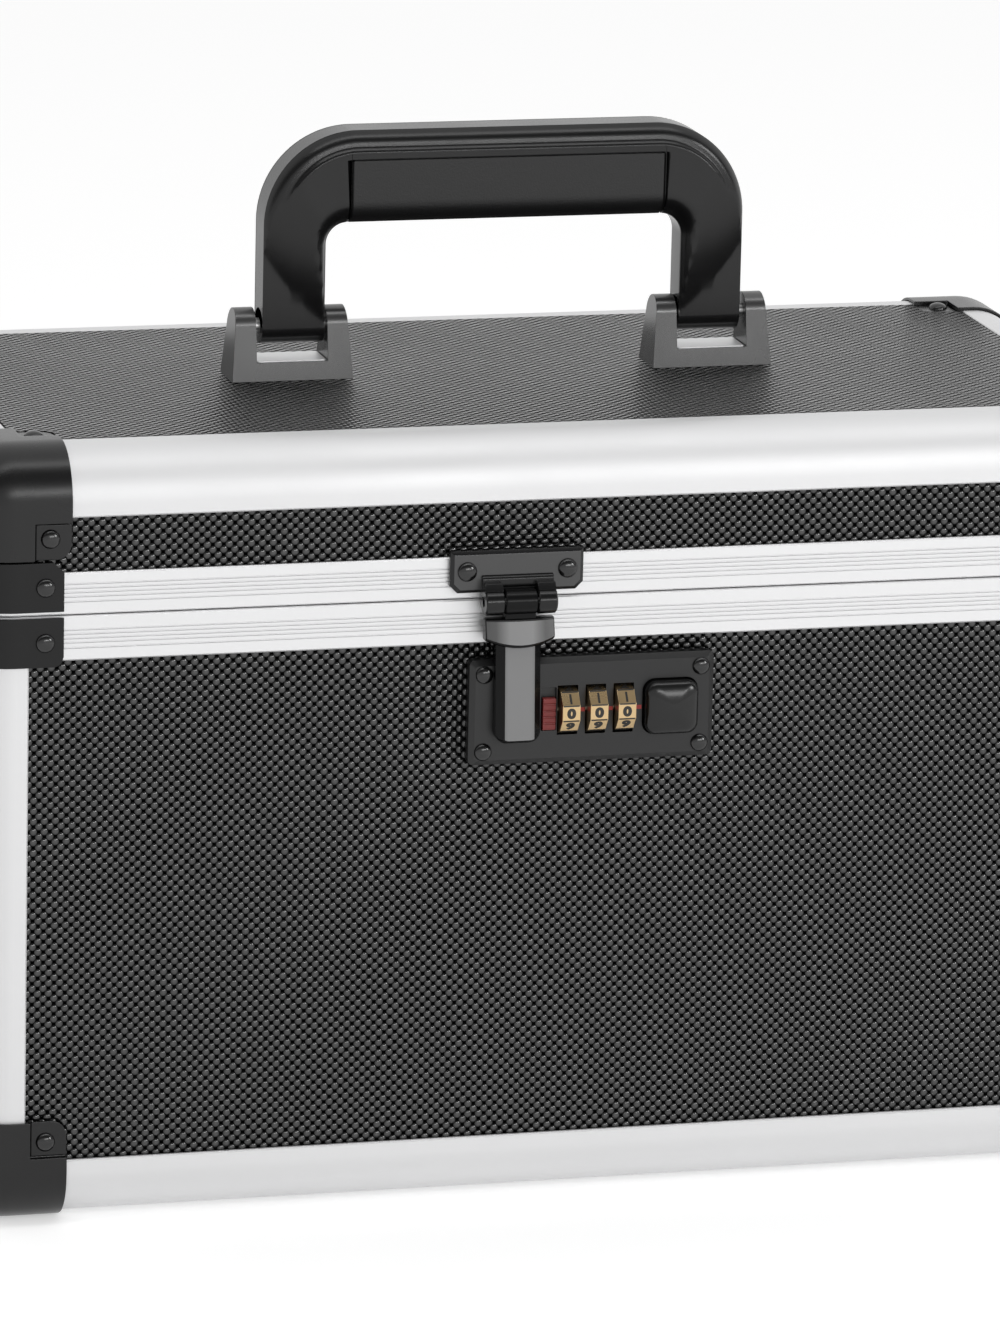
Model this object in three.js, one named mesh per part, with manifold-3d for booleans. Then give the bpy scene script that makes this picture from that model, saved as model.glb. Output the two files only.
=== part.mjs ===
// A lockable carrying case for medicines: textured boards in an aluminium frame, black corner caps,
// a hinged lid with a folding handle, and a hasp that closes over a three-wheel combination lock.
// Millimetres, +Z up. The front faces -Y. The origin is under the middle of the case, where it stands.

import * as THREE from 'three';
import Module from 'manifold-3d';
import { mergeVertices } from 'three/addons/utils/BufferGeometryUtils.js';

const wasm = await Module();
wasm.setup();

// The case, measured over its aluminium rails
const caseWidth = 338.5;
const caseDepth = 171;
const seamHeight = 168.5;
const seamGap = 0.3;
const lidHeight = 43.7;

// The frame's rails, whose slots hold the boards
const railRadius = 14;
const railBand = 17.5;
const lipThickness = 1.2;
const slotSetback = 4;
const boardThickness = 4;
const liningThickness = 2.5;
const seat = 0.25;
const running = 0.3;

// The two rims that meet at the seam
const baseRimHeight = 12.3;
const lidRimHeight = 11.4;
const baseWebHeight = 3;
const lidWebHeight = 4.2;
const innerLipHeight = 9;
const innerLipThickness = 1.2;
const tongueSetback = 4.2;
const tongueThickness = 1.2;
const tongueHeight = 2;
const tongueClearance = 0.6;

// Corner caps and the brackets at the seam
const capProud = 1;
const capShoulder = 1.15;
const capTab = 10.1;
const capTabThickness = 1;
const capTabRadius = 4;
const bracketThickness = 0.9;
const bracketReach = 27.85;
const bracketHeight = 13.4;
const bracketChamfer = 2.8;
const baseBracketDrop = 0.25;
const lidBracketLift = 1.1;
const rivetRadius = 2.45;
const rivetHeight = 1.1;
const rivetSink = 0.4;

// Everything that stands out furthest at the front and at the back
const hardwareStand = 8.5;

// Rear hinges
const hingeInset = 70;
const hingeWidth = 44;
const hingeLeafHeight = 12.2;
const hingeLeafThickness = 1.5;
const hingeLeafDrop = 1.8;
const hingeBarrelRadius = 3;
const hingePinRadius = 1.2;
const hingeKnuckle = 14;

// Hasp plate and hasp arm
const haspX = -19;
const haspPlateWidth = 37;
const haspPlateHeight = 11.6;
const haspPlateThickness = 2.1;
const haspPlateLift = 2;
const haspPlateChamfer = 2.1;
const haspRivetInset = 4.6;
const haspBarrelRadius = 3.5;
const haspBarrelWidth = 19.8;
const haspKnuckleWidth = 8.8;
const haspPinRadius = 1.3;
const haspBarHeight = 3.2;
const haspBarProud = 1.3;
const haspHeadWidth = 19.2;
const haspHeadDrop = 4.4;
const haspHeadHeight = 8.4;
const haspArmWidth = 12.4;
const haspArmCrest = 8.2;
const haspArmFall = 38.9;
const haspArmRise = 5;
const haspNeckThickness = 3.2;
const stapleWidth = 4;
const stapleHeight = 4.6;
const stapleDrop = 20.6;
const stapleDepth = 2.4;

// Lock plate, wheels, button, bolt and the red slider
const lockX = 2.6;
const lockDrop = 31.1;
const lockPlateWidth = 68.4;
const lockPlateHeight = 29.2;
const lockPlateProud = 2.9;
const lockPlateBevel = 1.4;
const lockRivetInset = 3.7;
const lockRivetRadius = 2.3;
const housingLeft = 16;
const housingRight = 31.2;
const housingHeight = 25.2;
const wheelPitch = 7.8;
const firstWheelX = -6.9;
const wheelRadius = 6.7;
const wheelWidth = 5;
const wheelProud = 4.6;
const wheelAxleRadius = 0.95;
const axleEnd = 1.3;
const buttonX = 21.8;
const buttonWidth = 14.8;
const buttonRadius = 3;
const buttonFace = 11.8;
const buttonBevel = 1.5;
const buttonLength = 8.6;
const buttonProud = 4.9;
const buttonTravel = 2.5;
const springRadius = 3.6;
const springWall = 0.9;
const springLength = 1.7;
const recessWall = 0.6;
const boltThickness = 2.6;
const boltHeight = 2.6;
const boltLift = 8.9;
const boltFrontWall = 0.7;
const boltTailWidth = 6;
const boltTailThickness = 1.15;
const boltTailDrop = 9;
const sliderX = -12.2;
const sliderWidth = 3.6;
const sliderHeight = 8.8;
const sliderDrop = 0.8;
const sliderProud = 0.9;
const sliderDepth = 0.9;
const sliderTravel = 2.5;
const coverThickness = 1;
const coverMargin = 1;

// Carrying handle and its two feet
const handleX = -2.2;
const footSpacing = 120;
const footWidth = 34.2;
const footTopWidth = 31;
const footDepth = 15;
const notchWidth = 20;
const notchFloor = 5.15;
const pivotHeight = 14.35;
const knuckleRadius = 5.2;
const handlePinRadius = 2.2;
const legWidth = 17.6;
const legThickness = 10;
const legBevel = 1;
const handleRise = 54.6;
const fingerRise = 29;
const handleOuterRadius = 26;
const handleInnerRadius = 6;
const handleThickness = 18;
const handleRounding = 6;
const swellRadius = 93.5;
const swellCentre = 66;
const swellHalf = 10.4;
const gripLength = 88.6;
const gripWall = 2.2;
const gripHeight = 17.4;

// Counts of facets and one overrun for every cut
const arcSteps = 6;
const domeSides = 8;
const barrelSides = 16;
const roundingSteps = 3;
const wheelDigits = 10;
const overrun = 6;
const mergeDistance = 1e-4;

// Places that follow from the sizes above
const halfWidth = caseWidth / 2;
const halfDepth = caseDepth / 2;
const caseHeight = seamHeight + seamGap + lidHeight;
const lockHeight = seamHeight - lockDrop;
const slotFloor = railRadius - slotSetback;
const boardOuter = lipThickness + seat;
const boardInner = boardOuter + boardThickness;
const liningOuter = boardInner + seat;
const liningInner = liningOuter + liningThickness;
const rimDepth = liningInner + seat + innerLipThickness;
const boardEdge = slotFloor + seat;
const lidSeam = seamHeight + seamGap;
const slotCorner = boardInner + seat + slotFloor + Math.SQRT2 * seat;
const trayChamfer = slotCorner - 2 * liningOuter;
const bracketProud = seat + bracketThickness;
const lidCapSize = railBand + capShoulder + capTab;

const finish = (color, roughness, metalness) => new THREE.MeshStandardMaterial({ color, roughness, metalness });
const board = finish(0x2a2a2b, 0.5, 0);
const aluminium = finish(0xdedfe0, 0.35, 1);
const blackPlastic = finish(0x1b1b1c, 0.35, 0);
const blackMetal = finish(0x161617, 0.3, 0.6);
const lining = finish(0x3a3a3c, 0.95, 0);
const brass = finish(0xb9935a, 0.3, 1);
const steel = finish(0xb9babc, 0.3, 1);
const redPlastic = finish(0xa5252b, 0.4, 0);
const gripRubber = finish(0x262627, 0.6, 0);

// Turns a closed geometry into a solid that can be joined and cut
function solidOf(geometry) {
  geometry.deleteAttribute('normal');
  geometry.deleteAttribute('uv');
  const merged = mergeVertices(geometry, mergeDistance);
  return new wasm.Manifold(new wasm.Mesh({
    numProp: 3,
    vertProperties: Float32Array.from(merged.attributes.position.array),
    triVerts: Uint32Array.from(merged.index.array),
  }));
}

function geometryOf(solid) {
  const mesh = solid.getMesh();
  const geometry = new THREE.BufferGeometry();
  geometry.setAttribute('position', new THREE.BufferAttribute(Float32Array.from(mesh.vertProperties), 3));
  geometry.setIndex(Array.from(mesh.triVerts));
  return geometry;
}

// A prism whose section is a list of points; along X they are (y, z), along Y (x, z), along Z (x, y)
function sectionShape(points, alongY) {
  return new THREE.Shape(points.map(([a, b]) => (alongY ? new THREE.Vector2(b, a) : new THREE.Vector2(a, b))));
}

function axisFrame(axis) {
  const x = new THREE.Vector3(1, 0, 0);
  const y = new THREE.Vector3(0, 1, 0);
  const z = new THREE.Vector3(0, 0, 1);
  const frames = { x: [y, z, x], y: [z, x, y], z: [x, y, z] };
  return new THREE.Matrix4().makeBasis(...frames[axis]);
}

function prism(axis, points, low, high) {
  const geometry = new THREE.ExtrudeGeometry(sectionShape(points, axis === 'y'), {
    depth: high - low, bevelEnabled: false,
  });
  geometry.translate(0, 0, low);
  geometry.applyMatrix4(axisFrame(axis));
  return solidOf(geometry);
}

function box(xRange, yRange, zRange) {
  const ranges = [xRange, yRange, zRange];
  const geometry = new THREE.BoxGeometry(...ranges.map(([low, high]) => high - low));
  geometry.translate(...ranges.map(([low, high]) => (low + high) / 2));
  return solidOf(geometry);
}

const about = (centre, size) => [centre - size / 2, centre + size / 2];

// A cylinder between two places on an axis through the other two coordinates, (y, z), (x, z) or (x, y)
function cylinder(axis, centre, radius, low, high, sides = barrelSides) {
  const points = [];
  for (let i = 0; i < sides; i += 1) {
    const angle = ((i + 0.5) / sides) * Math.PI * 2;
    points.push([centre[0] + radius * Math.cos(angle), centre[1] + radius * Math.sin(angle)]);
  }
  return prism(axis, points, low, high);
}

// A hole whose facets stay clear of a pin of the given radius
function bore(axis, centre, pinRadius, low, high, sides = domeSides) {
  return cylinder(axis, centre, (pinRadius + running) / Math.cos(Math.PI / sides), low, high, sides);
}

function arcPoints(centre, radius, startTurn, endTurn, steps) {
  const points = [];
  for (let i = 0; i <= steps; i += 1) {
    const angle = (startTurn + ((endTurn - startTurn) * i) / steps) * Math.PI * 2;
    points.push([centre[0] + radius * Math.cos(angle), centre[1] + radius * Math.sin(angle)]);
  }
  return points;
}

function roundedRectangle(centre, width, height, radius, steps = arcSteps) {
  const x = width / 2 - radius;
  const y = height / 2 - radius;
  const corners = [[x, y, 0], [-x, y, 0.25], [-x, -y, 0.5], [x, -y, 0.75]];
  return corners.flatMap(([dx, dy, turn]) => (
    arcPoints([centre[0] + dx, centre[1] + dy], radius, turn, turn + 0.25, steps)
  ));
}

const join = (solids) => solids.reduce((whole, piece) => whole.add(piece));
const cut = (solid, tools) => tools.reduce((left, tool) => left.subtract(tool), solid);

// A rivet's domed head on a surface; its foot is sunk into what it holds
function rivet(direction, place, radius = rivetRadius, height = rivetHeight) {
  const lastShare = 0.7;
  const profile = [
    new THREE.Vector2(0, -rivetSink),
    new THREE.Vector2(radius, -rivetSink),
    new THREE.Vector2(radius, height * (1 - lastShare)),
    new THREE.Vector2(radius * lastShare, height * (1 - lastShare * lastShare * lastShare)),
    new THREE.Vector2(0, height),
  ];
  const geometry = new THREE.LatheGeometry(profile, domeSides);
  const turn = new THREE.Quaternion().setFromUnitVectors(
    new THREE.Vector3(0, 1, 0), new THREE.Vector3(...direction),
  );
  geometry.applyQuaternion(turn);
  geometry.translate(...place);
  return solidOf(geometry);
}

// The scene graph: the case stands on its bottom caps, so the frame is lifted by what they stand out
const part = new THREE.Group();
const caseFrame = new THREE.Group();
caseFrame.position.z = capProud;
part.add(caseFrame);

function group(parent, x, y, z) {
  const made = new THREE.Group();
  made.position.set(x, y, z);
  parent.add(made);
  return made;
}

function addGeometry(parent, name, geometry, material) {
  const mesh = new THREE.Mesh(geometry, material);
  mesh.name = name;
  parent.add(mesh);
  return mesh;
}

function addPiece(parent, name, solid, material) {
  return addGeometry(parent, name, geometryOf(solid), material);
}

const sides = [['left', -1], ['right', 1]];
const ends = [['front', -1], ['back', 1]];

// The frame's rails: a quarter-round with two lips; the slots behind the lips hold the boards
function railSection(band) {
  const slotEnd = boardInner + seat;
  return [
    [band, 0],
    ...arcPoints([railRadius, railRadius], railRadius, 0.75, 0.5, arcSteps),
    [0, band],
    [lipThickness, band],
    [lipThickness, slotFloor],
    [slotEnd, slotFloor],
    [slotFloor, slotEnd],
    [slotFloor, lipThickness],
    [band, lipThickness],
  ];
}

function addRails(name, band, level, inward) {
  const alongX = halfWidth - band - seat;
  const alongY = halfDepth - band - seat;
  const height = (depth) => level + inward * depth;
  for (const [end, sign] of ends) {
    const points = railSection(band).map(([u, v]) => [sign * (halfDepth - u), height(v)]);
    addPiece(caseFrame, `${name}_${end}`, prism('x', points, -alongX, alongX), aluminium);
  }
  for (const [side, sign] of sides) {
    const points = railSection(band).map(([u, v]) => [sign * (halfWidth - u), height(v)]);
    addPiece(caseFrame, `${name}_${side}`, prism('y', points, -alongY, alongY), aluminium);
  }
}

function addPosts() {
  const top = seamHeight - baseRimHeight - seat;
  for (const [end, ySign] of ends) {
    for (const [side, xSign] of sides) {
      const points = railSection(railBand).map(([u, v]) => [xSign * (halfWidth - u), ySign * (halfDepth - v)]);
      addPiece(caseFrame, `base_post_${end}_${side}`, prism('z', points, railBand + seat, top), aluminium);
    }
  }
}

addRails('base_rail', railBand, 0, 1);
addPosts();
addRails('lid_rail', railBand, caseHeight, -1);

// The boards, which sit in the rails' slots
function lockOpening(yRange) {
  return box(
    [lockX - housingLeft - seat, lockX + housingRight + seat],
    yRange,
    about(lockHeight, housingHeight + 2 * seat),
  );
}

// A wall board's outline: square notches at its bottom corners clear the caps, tall ones at its top the rim
function wallOutline(half) {
  const edge = half - boardEdge;
  const low = half - railBand - seat;
  const high = half - railRadius - seat;
  const notchLow = railBand + seat;
  const notchHigh = seamHeight - baseRimHeight - seat;
  const top = seamHeight - baseWebHeight - seat;
  return [
    [-low, boardEdge], [low, boardEdge], [low, notchLow], [edge, notchLow], [edge, notchHigh],
    [high, notchHigh], [high, top], [-high, top], [-high, notchHigh], [-edge, notchHigh],
    [-edge, notchLow], [-low, notchLow],
  ];
}

function flatOutline() {
  const x = halfWidth - boardEdge;
  const y = halfDepth - boardEdge;
  const notchX = halfWidth - railBand - seat;
  const notchY = halfDepth - railBand - seat;
  return [
    [-notchX, -y], [notchX, -y], [notchX, -notchY], [x, -notchY], [x, notchY], [notchX, notchY],
    [notchX, y], [-notchX, y], [-notchX, notchY], [-x, notchY], [-x, -notchY], [-notchX, -notchY],
  ];
}

// The raised field of the top board fills the rails' opening, level with them, and goes round the cap tabs
function fieldOutline() {
  const x = halfWidth - railBand - seat;
  const y = halfDepth - railBand - seat;
  const radius = capTabRadius + seat;
  const tabX = halfWidth - lidCapSize - seat + radius;
  const tabY = halfDepth - lidCapSize - seat + radius;
  const corners = [[1, -1, 0.5, 0.25], [1, 1, 0.75, 0.5], [-1, 1, 0, -0.25], [-1, -1, 0.25, 0]];
  return corners.flatMap(([sx, sy, start, end]) => {
    const round = arcPoints([sx * tabX, sy * tabY], radius, start, end, roundingSteps);
    const along = [sx * x, sy * (tabY - radius)];
    const across = [sx * (tabX - radius), sy * y];
    return sx === sy ? [along, ...round, across] : [across, ...round, along];
  });
}

function addBoards() {
  const frontRange = [boardOuter - halfDepth, boardInner - halfDepth];
  const front = prism('y', wallOutline(halfWidth), ...frontRange);
  const openingRange = [-halfDepth, liningOuter - halfDepth];
  addPiece(caseFrame, 'base_front_board', front.subtract(lockOpening(openingRange)), board);
  const back = prism('y', wallOutline(halfWidth), -frontRange[1], -frontRange[0]);
  addPiece(caseFrame, 'base_back_board', back, board);
  for (const [side, sign] of sides) {
    const range = [boardOuter, boardInner].map((depth) => sign * (halfWidth - depth)).sort((a, b) => a - b);
    addPiece(caseFrame, `base_${side}_board`, prism('x', wallOutline(halfDepth), ...range), board);
  }
  const bottom = prism('z', flatOutline(), boardOuter, boardInner);
  addPiece(caseFrame, 'base_bottom_board', bottom, board);
  const top = prism('z', flatOutline(), caseHeight - boardInner, caseHeight - boardOuter);
  const field = prism('z', fieldOutline(), caseHeight - boardInner, caseHeight);
  addPiece(caseFrame, 'lid_top_board', top.add(field), board);
}

addBoards();

// Rings that follow the case's outline, set in by a depth
function outline(depth, radius = railRadius - depth) {
  return roundedRectangle([0, 0], caseWidth - 2 * depth, caseDepth - 2 * depth, radius);
}

function ring(outerDepth, innerDepth, low, high, innerRadius = railRadius - innerDepth) {
  const shape = sectionShape(outline(outerDepth), false);
  shape.holes.push(new THREE.Path(sectionShape(outline(innerDepth, innerRadius), false).getPoints()));
  const geometry = new THREE.ExtrudeGeometry(shape, { depth: high - low, bevelEnabled: false });
  geometry.translate(0, 0, low);
  return solidOf(geometry);
}

// Each rim is a bent channel over the edges of the boards and the lining; a tongue on the base rim
// stands in a groove of the lid rim, as a dust lip
function addRims() {
  const baseRim = join([
    ring(0, lipThickness, seamHeight - baseRimHeight, seamHeight),
    ring(0, rimDepth, seamHeight - baseWebHeight, seamHeight),
    ring(rimDepth - innerLipThickness, rimDepth, seamHeight - innerLipHeight, seamHeight),
    ring(tongueSetback, tongueSetback + tongueThickness, seamHeight - baseWebHeight / 2, seamHeight + tongueHeight),
  ]);
  addPiece(caseFrame, 'base_rim', baseRim, aluminium);
  const grooveOuter = tongueSetback - tongueClearance;
  const grooveInner = tongueSetback + tongueThickness + tongueClearance;
  const lidRim = join([
    ring(0, lipThickness, lidSeam, lidSeam + lidRimHeight),
    ring(0, rimDepth, lidSeam, lidSeam + lidWebHeight),
    ring(rimDepth - innerLipThickness, rimDepth, lidSeam, lidSeam + innerLipHeight),
  ]).subtract(ring(grooveOuter, grooveInner, seamHeight, seamHeight + tongueHeight + tongueClearance));
  addPiece(caseFrame, 'lid_rim', lidRim, aluminium);
}

// The lid's side boards are one ring, lower at the corners, where the caps curve over it
function addSideBand() {
  const top = caseHeight - boardEdge;
  const radius = liningOuter + trayChamfer - boardInner;
  const band = ring(boardOuter, boardInner, lidSeam + lidWebHeight + seat, top, radius);
  const notches = [-1, 1].flatMap((xSign) => [-1, 1].map((ySign) => box(
    [halfWidth - railBand - seat, halfWidth].map((x) => xSign * x).sort((a, b) => a - b),
    [halfDepth - railBand - seat, halfDepth].map((y) => ySign * y).sort((a, b) => a - b),
    [caseHeight - railRadius - seat, caseHeight],
  )));
  addPiece(caseFrame, 'lid_side_band', cut(band, notches), board);
}

addRims();
addSideBand();

// The linings are trays whose outer edges are chamfered to pass inside the rails
function chamferedBlock(depth, closed, open, chamfer) {
  const x = halfWidth - depth;
  const y = halfDepth - depth;
  const inward = Math.sign(open - closed);
  const mouth = open + inward * overrun;
  const plan = [
    [x - chamfer, -y], [x, chamfer - y], [x, y - chamfer], [x - chamfer, y],
    [chamfer - x, y], [-x, y - chamfer], [-x, chamfer - y], [chamfer - x, -y],
  ];
  const side = (half) => [
    [-half, mouth], [-half, closed + inward * chamfer], [chamfer - half, closed],
    [half - chamfer, closed], [half, closed + inward * chamfer], [half, mouth],
  ];
  const levels = [Math.min(closed, mouth), Math.max(closed, mouth)];
  return prism('z', plan, ...levels)
    .intersect(prism('x', side(y), -halfWidth, halfWidth))
    .intersect(prism('y', side(x), -halfDepth, halfDepth));
}

function tray(closed, open) {
  const inward = Math.sign(open - closed);
  const innerChamfer = slotCorner + Math.SQRT2 * liningThickness - 2 * liningInner;
  const shell = chamferedBlock(liningOuter, closed, open, trayChamfer)
    .subtract(chamferedBlock(liningInner, closed + inward * liningThickness, open + inward * overrun, innerChamfer));
  const kept = [Math.min(closed, open), Math.max(closed, open)];
  return shell.intersect(box([-halfWidth, halfWidth], [-halfDepth, halfDepth], kept));
}

function addLinings() {
  const baseTray = tray(liningOuter, seamHeight - baseWebHeight - seat);
  const opening = lockOpening([-halfDepth, liningInner + overrun - halfDepth]);
  addPiece(caseFrame, 'base_lining', baseTray.subtract(opening), lining);
  addPiece(caseFrame, 'lid_lining', tray(caseHeight - liningOuter, lidSeam + lidWebHeight + seat), lining);
}

addLinings();

// A corner of the case in its own coordinates, each measured inward from one face, then mirrored into place
function cornerForm(depth, reach) {
  const points = [
    [reach, depth],
    [reach, reach],
    [depth, reach],
    ...arcPoints([railRadius, railRadius], railRadius - depth, 0.5, 0.75, arcSteps),
  ];
  const edges = ['x', 'y', 'z'].map((axis) => prism(axis, points, depth, reach)).reduce((a, b) => a.intersect(b));
  const ball = new THREE.SphereGeometry(railRadius - depth, 4 * arcSteps, 2 * arcSteps);
  ball.translate(railRadius, railRadius, railRadius);
  const tip = [-overrun, railRadius];
  return edges.subtract(box(tip, tip, tip).subtract(solidOf(ball)));
}

function mirrored(solid, signs) {
  const geometry = geometryOf(solid);
  geometry.scale(...signs);
  if (signs[0] * signs[1] * signs[2] < 0) {
    const corners = Array.from(geometry.index.array);
    for (let i = 0; i < corners.length; i += 3) {
      [corners[i], corners[i + 1]] = [corners[i + 1], corners[i]];
    }
    geometry.setIndex(corners);
  }
  return geometry;
}

// Places a range along each of three axes, the third axis being the one that a face looks along
function faceBox(axis, across, along) {
  const ranges = { x: [along, across, across], y: [across, along, across], z: [across, across, along] };
  return box(...ranges[axis]);
}

function cornerCap(band, uprightRail) {
  const tabStart = band + capShoulder;
  const size = tabStart + capTab;
  const reach = size + overrun;
  const far = [tabStart, reach];
  const sheet = [
    ...arcPoints([size - capTabRadius, size - capTabRadius], capTabRadius, 0, 0.25, arcSteps),
    [-overrun, size], [-overrun, -overrun], [size, -overrun],
  ];
  const plates = join(['x', 'y', 'z'].map((axis) => prism(axis, sheet, -overrun, railRadius)));
  const skin = cornerForm(-capProud, reach).subtract(cornerForm(lipThickness, reach)).intersect(plates);
  const railForm = cornerForm(-seat, reach);
  const railAxes = uprightRail ? ['x', 'y', 'z'] : ['x', 'y'];
  const railTools = railAxes.map((axis) => (
    railForm.intersect(faceBox(axis, [-overrun, band + seat], [band, reach]))
  ));
  const tabLevel = lipThickness - capTabThickness;
  const tabTools = ['x', 'y', 'z'].map((axis) => faceBox(axis, far, [-overrun, tabLevel]));
  const rivetShare = 0.43;
  const centre = tabStart + capTab * rivetShare;
  const rivets = [
    rivet([-1, 0, 0], [tabLevel, centre, centre]),
    rivet([0, -1, 0], [centre, tabLevel, centre]),
    rivet([0, 0, -1], [centre, centre, tabLevel]),
  ];
  return join([cut(skin, [...railTools, ...tabTools]), ...rivets]);
}

function seamBracket(low, high, chamferHigh) {
  const plan = [
    [bracketReach, -bracketProud],
    ...arcPoints([railRadius, railRadius], railRadius + bracketProud, 0.75, 0.5, arcSteps),
    [-bracketProud, bracketReach],
    [-seat, bracketReach],
    ...arcPoints([railRadius, railRadius], railRadius + seat, 0.5, 0.75, arcSteps),
    [bracketReach, -seat],
  ];
  const edge = chamferHigh ? high : low;
  const inward = chamferHigh ? -1 : 1;
  const corner = [
    [bracketReach + seat, edge - inward * seat],
    [bracketReach + seat, edge + inward * bracketChamfer],
    [bracketReach - bracketChamfer, edge - inward * seat],
  ];
  const tools = ['x', 'y'].map((axis) => prism(axis, corner, -overrun, seat));
  const middle = (low + high) / 2;
  const rivetShare = 0.81;
  const along = bracketReach * rivetShare;
  return join([
    cut(prism('z', plan, low, high), tools),
    rivet([-1, 0, 0], [-bracketProud, along, middle]),
    rivet([0, -1, 0], [along, -bracketProud, middle]),
  ]);
}

function addCorners() {
  const baseCap = cornerCap(railBand, true);
  const lidCap = cornerCap(railBand, false);
  const lidBracketLow = lidSeam + lidBracketLift;
  const lidBracketHigh = Math.min(lidBracketLow + bracketHeight, caseHeight - lidCapSize - seat);
  const baseBracketHigh = seamHeight - baseBracketDrop;
  const lidBracket = seamBracket(lidBracketLow, lidBracketHigh, true);
  const baseBracket = seamBracket(baseBracketHigh - bracketHeight, baseBracketHigh, false);
  for (const [end, ySign] of ends) {
    for (const [side, xSign] of sides) {
      const name = `${end}_${side}`;
      const foot = group(caseFrame, xSign * halfWidth, ySign * halfDepth, 0);
      const head = group(caseFrame, xSign * halfWidth, ySign * halfDepth, caseHeight);
      addGeometry(foot, `base_cap_${name}`, mirrored(baseCap, [-xSign, -ySign, 1]), blackPlastic);
      addGeometry(head, `lid_cap_${name}`, mirrored(lidCap, [-xSign, -ySign, -1]), blackPlastic);
      addGeometry(foot, `base_bracket_${name}`, mirrored(baseBracket, [-xSign, -ySign, 1]), blackMetal);
      addGeometry(foot, `lid_bracket_${name}`, mirrored(lidBracket, [-xSign, -ySign, 1]), blackMetal);
    }
  }
}

addCorners();

// A rear hinge, seen from its own middle at the seam: x along the pin, y out from the case's back
function hingeLeaf(side, knuckles) {
  const axisY = hardwareStand - hingeBarrelRadius;
  const plateY = [seat, seat + hingeLeafThickness];
  const plateZ = [hingeLeafDrop, hingeLeafDrop + hingeLeafHeight].map((z) => side * z).sort((a, b) => a - b);
  const strapZ = [running * 2, hingeBarrelRadius].map((z) => side * z).sort((a, b) => a - b);
  const plate = box(about(0, hingeWidth), plateY, plateZ);
  const holderShare = 0.36;
  const rivetRow = side * (hingeLeafDrop + hingeLeafHeight * (1 - holderShare));
  const pieces = [plate];
  for (const [low, high] of knuckles) {
    pieces.push(box([low, high], [plateY[0], axisY], strapZ));
    pieces.push(cylinder('x', [axisY, 0], hingeBarrelRadius, low, high));
  }
  const hole = bore('x', [axisY, 0], hingePinRadius, -hingeWidth, hingeWidth);
  const rivets = [-1, 0, 1].map((place) => (
    rivet([0, 1, 0], [place * hingeWidth * holderShare, plateY[1], rivetRow])
  ));
  return join([join(pieces).subtract(hole), ...rivets]);
}

function addHinges() {
  const axisY = hardwareStand - hingeBarrelRadius;
  const outer = hingeKnuckle / 2 + running;
  const half = hingeWidth / 2;
  const lower = hingeLeaf(-1, [[-half, -outer], [outer, half]]);
  const upper = hingeLeaf(1, [[-hingeKnuckle / 2, hingeKnuckle / 2]]);
  const capLength = running * 2;
  const pin = join([
    cylinder('x', [axisY, 0], hingePinRadius, -half, half, domeSides),
    ...[-1, 1].map((sign) => {
      const head = [sign * (half - capLength), sign * half].sort((a, b) => a - b);
      return cylinder('x', [axisY, 0], hingePinRadius + running * 2, ...head, domeSides);
    }),
  ]);
  for (const [side, sign] of sides) {
    const place = group(caseFrame, sign * (halfWidth - hingeInset), halfDepth, seamHeight + seamGap / 2);
    addPiece(place, `hinge_lower_leaf_${side}`, lower.add(pin), blackMetal);
    addPiece(place, `hinge_upper_leaf_${side}`, upper, blackMetal);
  }
}

addHinges();

// The hasp, seen from its pin: x along the pin, y into the case from its front face, z up
const haspAxisY = haspBarrelRadius - hardwareStand;

function haspPlate() {
  const half = haspPlateWidth / 2;
  const low = haspPlateLift;
  const high = haspPlateLift + haspPlateHeight;
  const face = [
    [haspPlateChamfer - half, low], [half - haspPlateChamfer, low], [half, low + haspPlateChamfer],
    [half, high], [-half, high], [-half, low + haspPlateChamfer],
  ];
  const knuckleHalf = haspKnuckleWidth / 2 + running;
  const barrelHalf = haspBarrelWidth / 2;
  const front = -seat - haspPlateThickness;
  const barLow = haspBarrelRadius + running;
  const bar = box(about(0, haspBarrelWidth), [front - haspBarProud, -seat], [barLow, barLow + haspBarHeight]);
  const knuckles = [[-barrelHalf, -knuckleHalf], [knuckleHalf, barrelHalf]].flatMap(([a, b]) => [
    cylinder('x', [haspAxisY, 0], haspBarrelRadius, a, b),
    box([a, b], [haspAxisY, -seat], [low, barLow + haspBarHeight / 2]),
  ]);
  const relief = cylinder('x', [haspAxisY, 0], haspBarrelRadius + running, -knuckleHalf, knuckleHalf);
  const hole = bore('x', [haspAxisY, 0], haspPinRadius, -half, half);
  const body = join([prism('y', face, front, -seat), bar, ...knuckles]);
  const riseShare = 0.52;
  const rivets = [-1, 1].map((sign) => (
    rivet([0, -1, 0], [sign * (half - haspRivetInset), front, low + haspPlateHeight * riseShare])
  ));
  return join([cut(body, [relief, hole]), ...rivets]);
}

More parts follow.
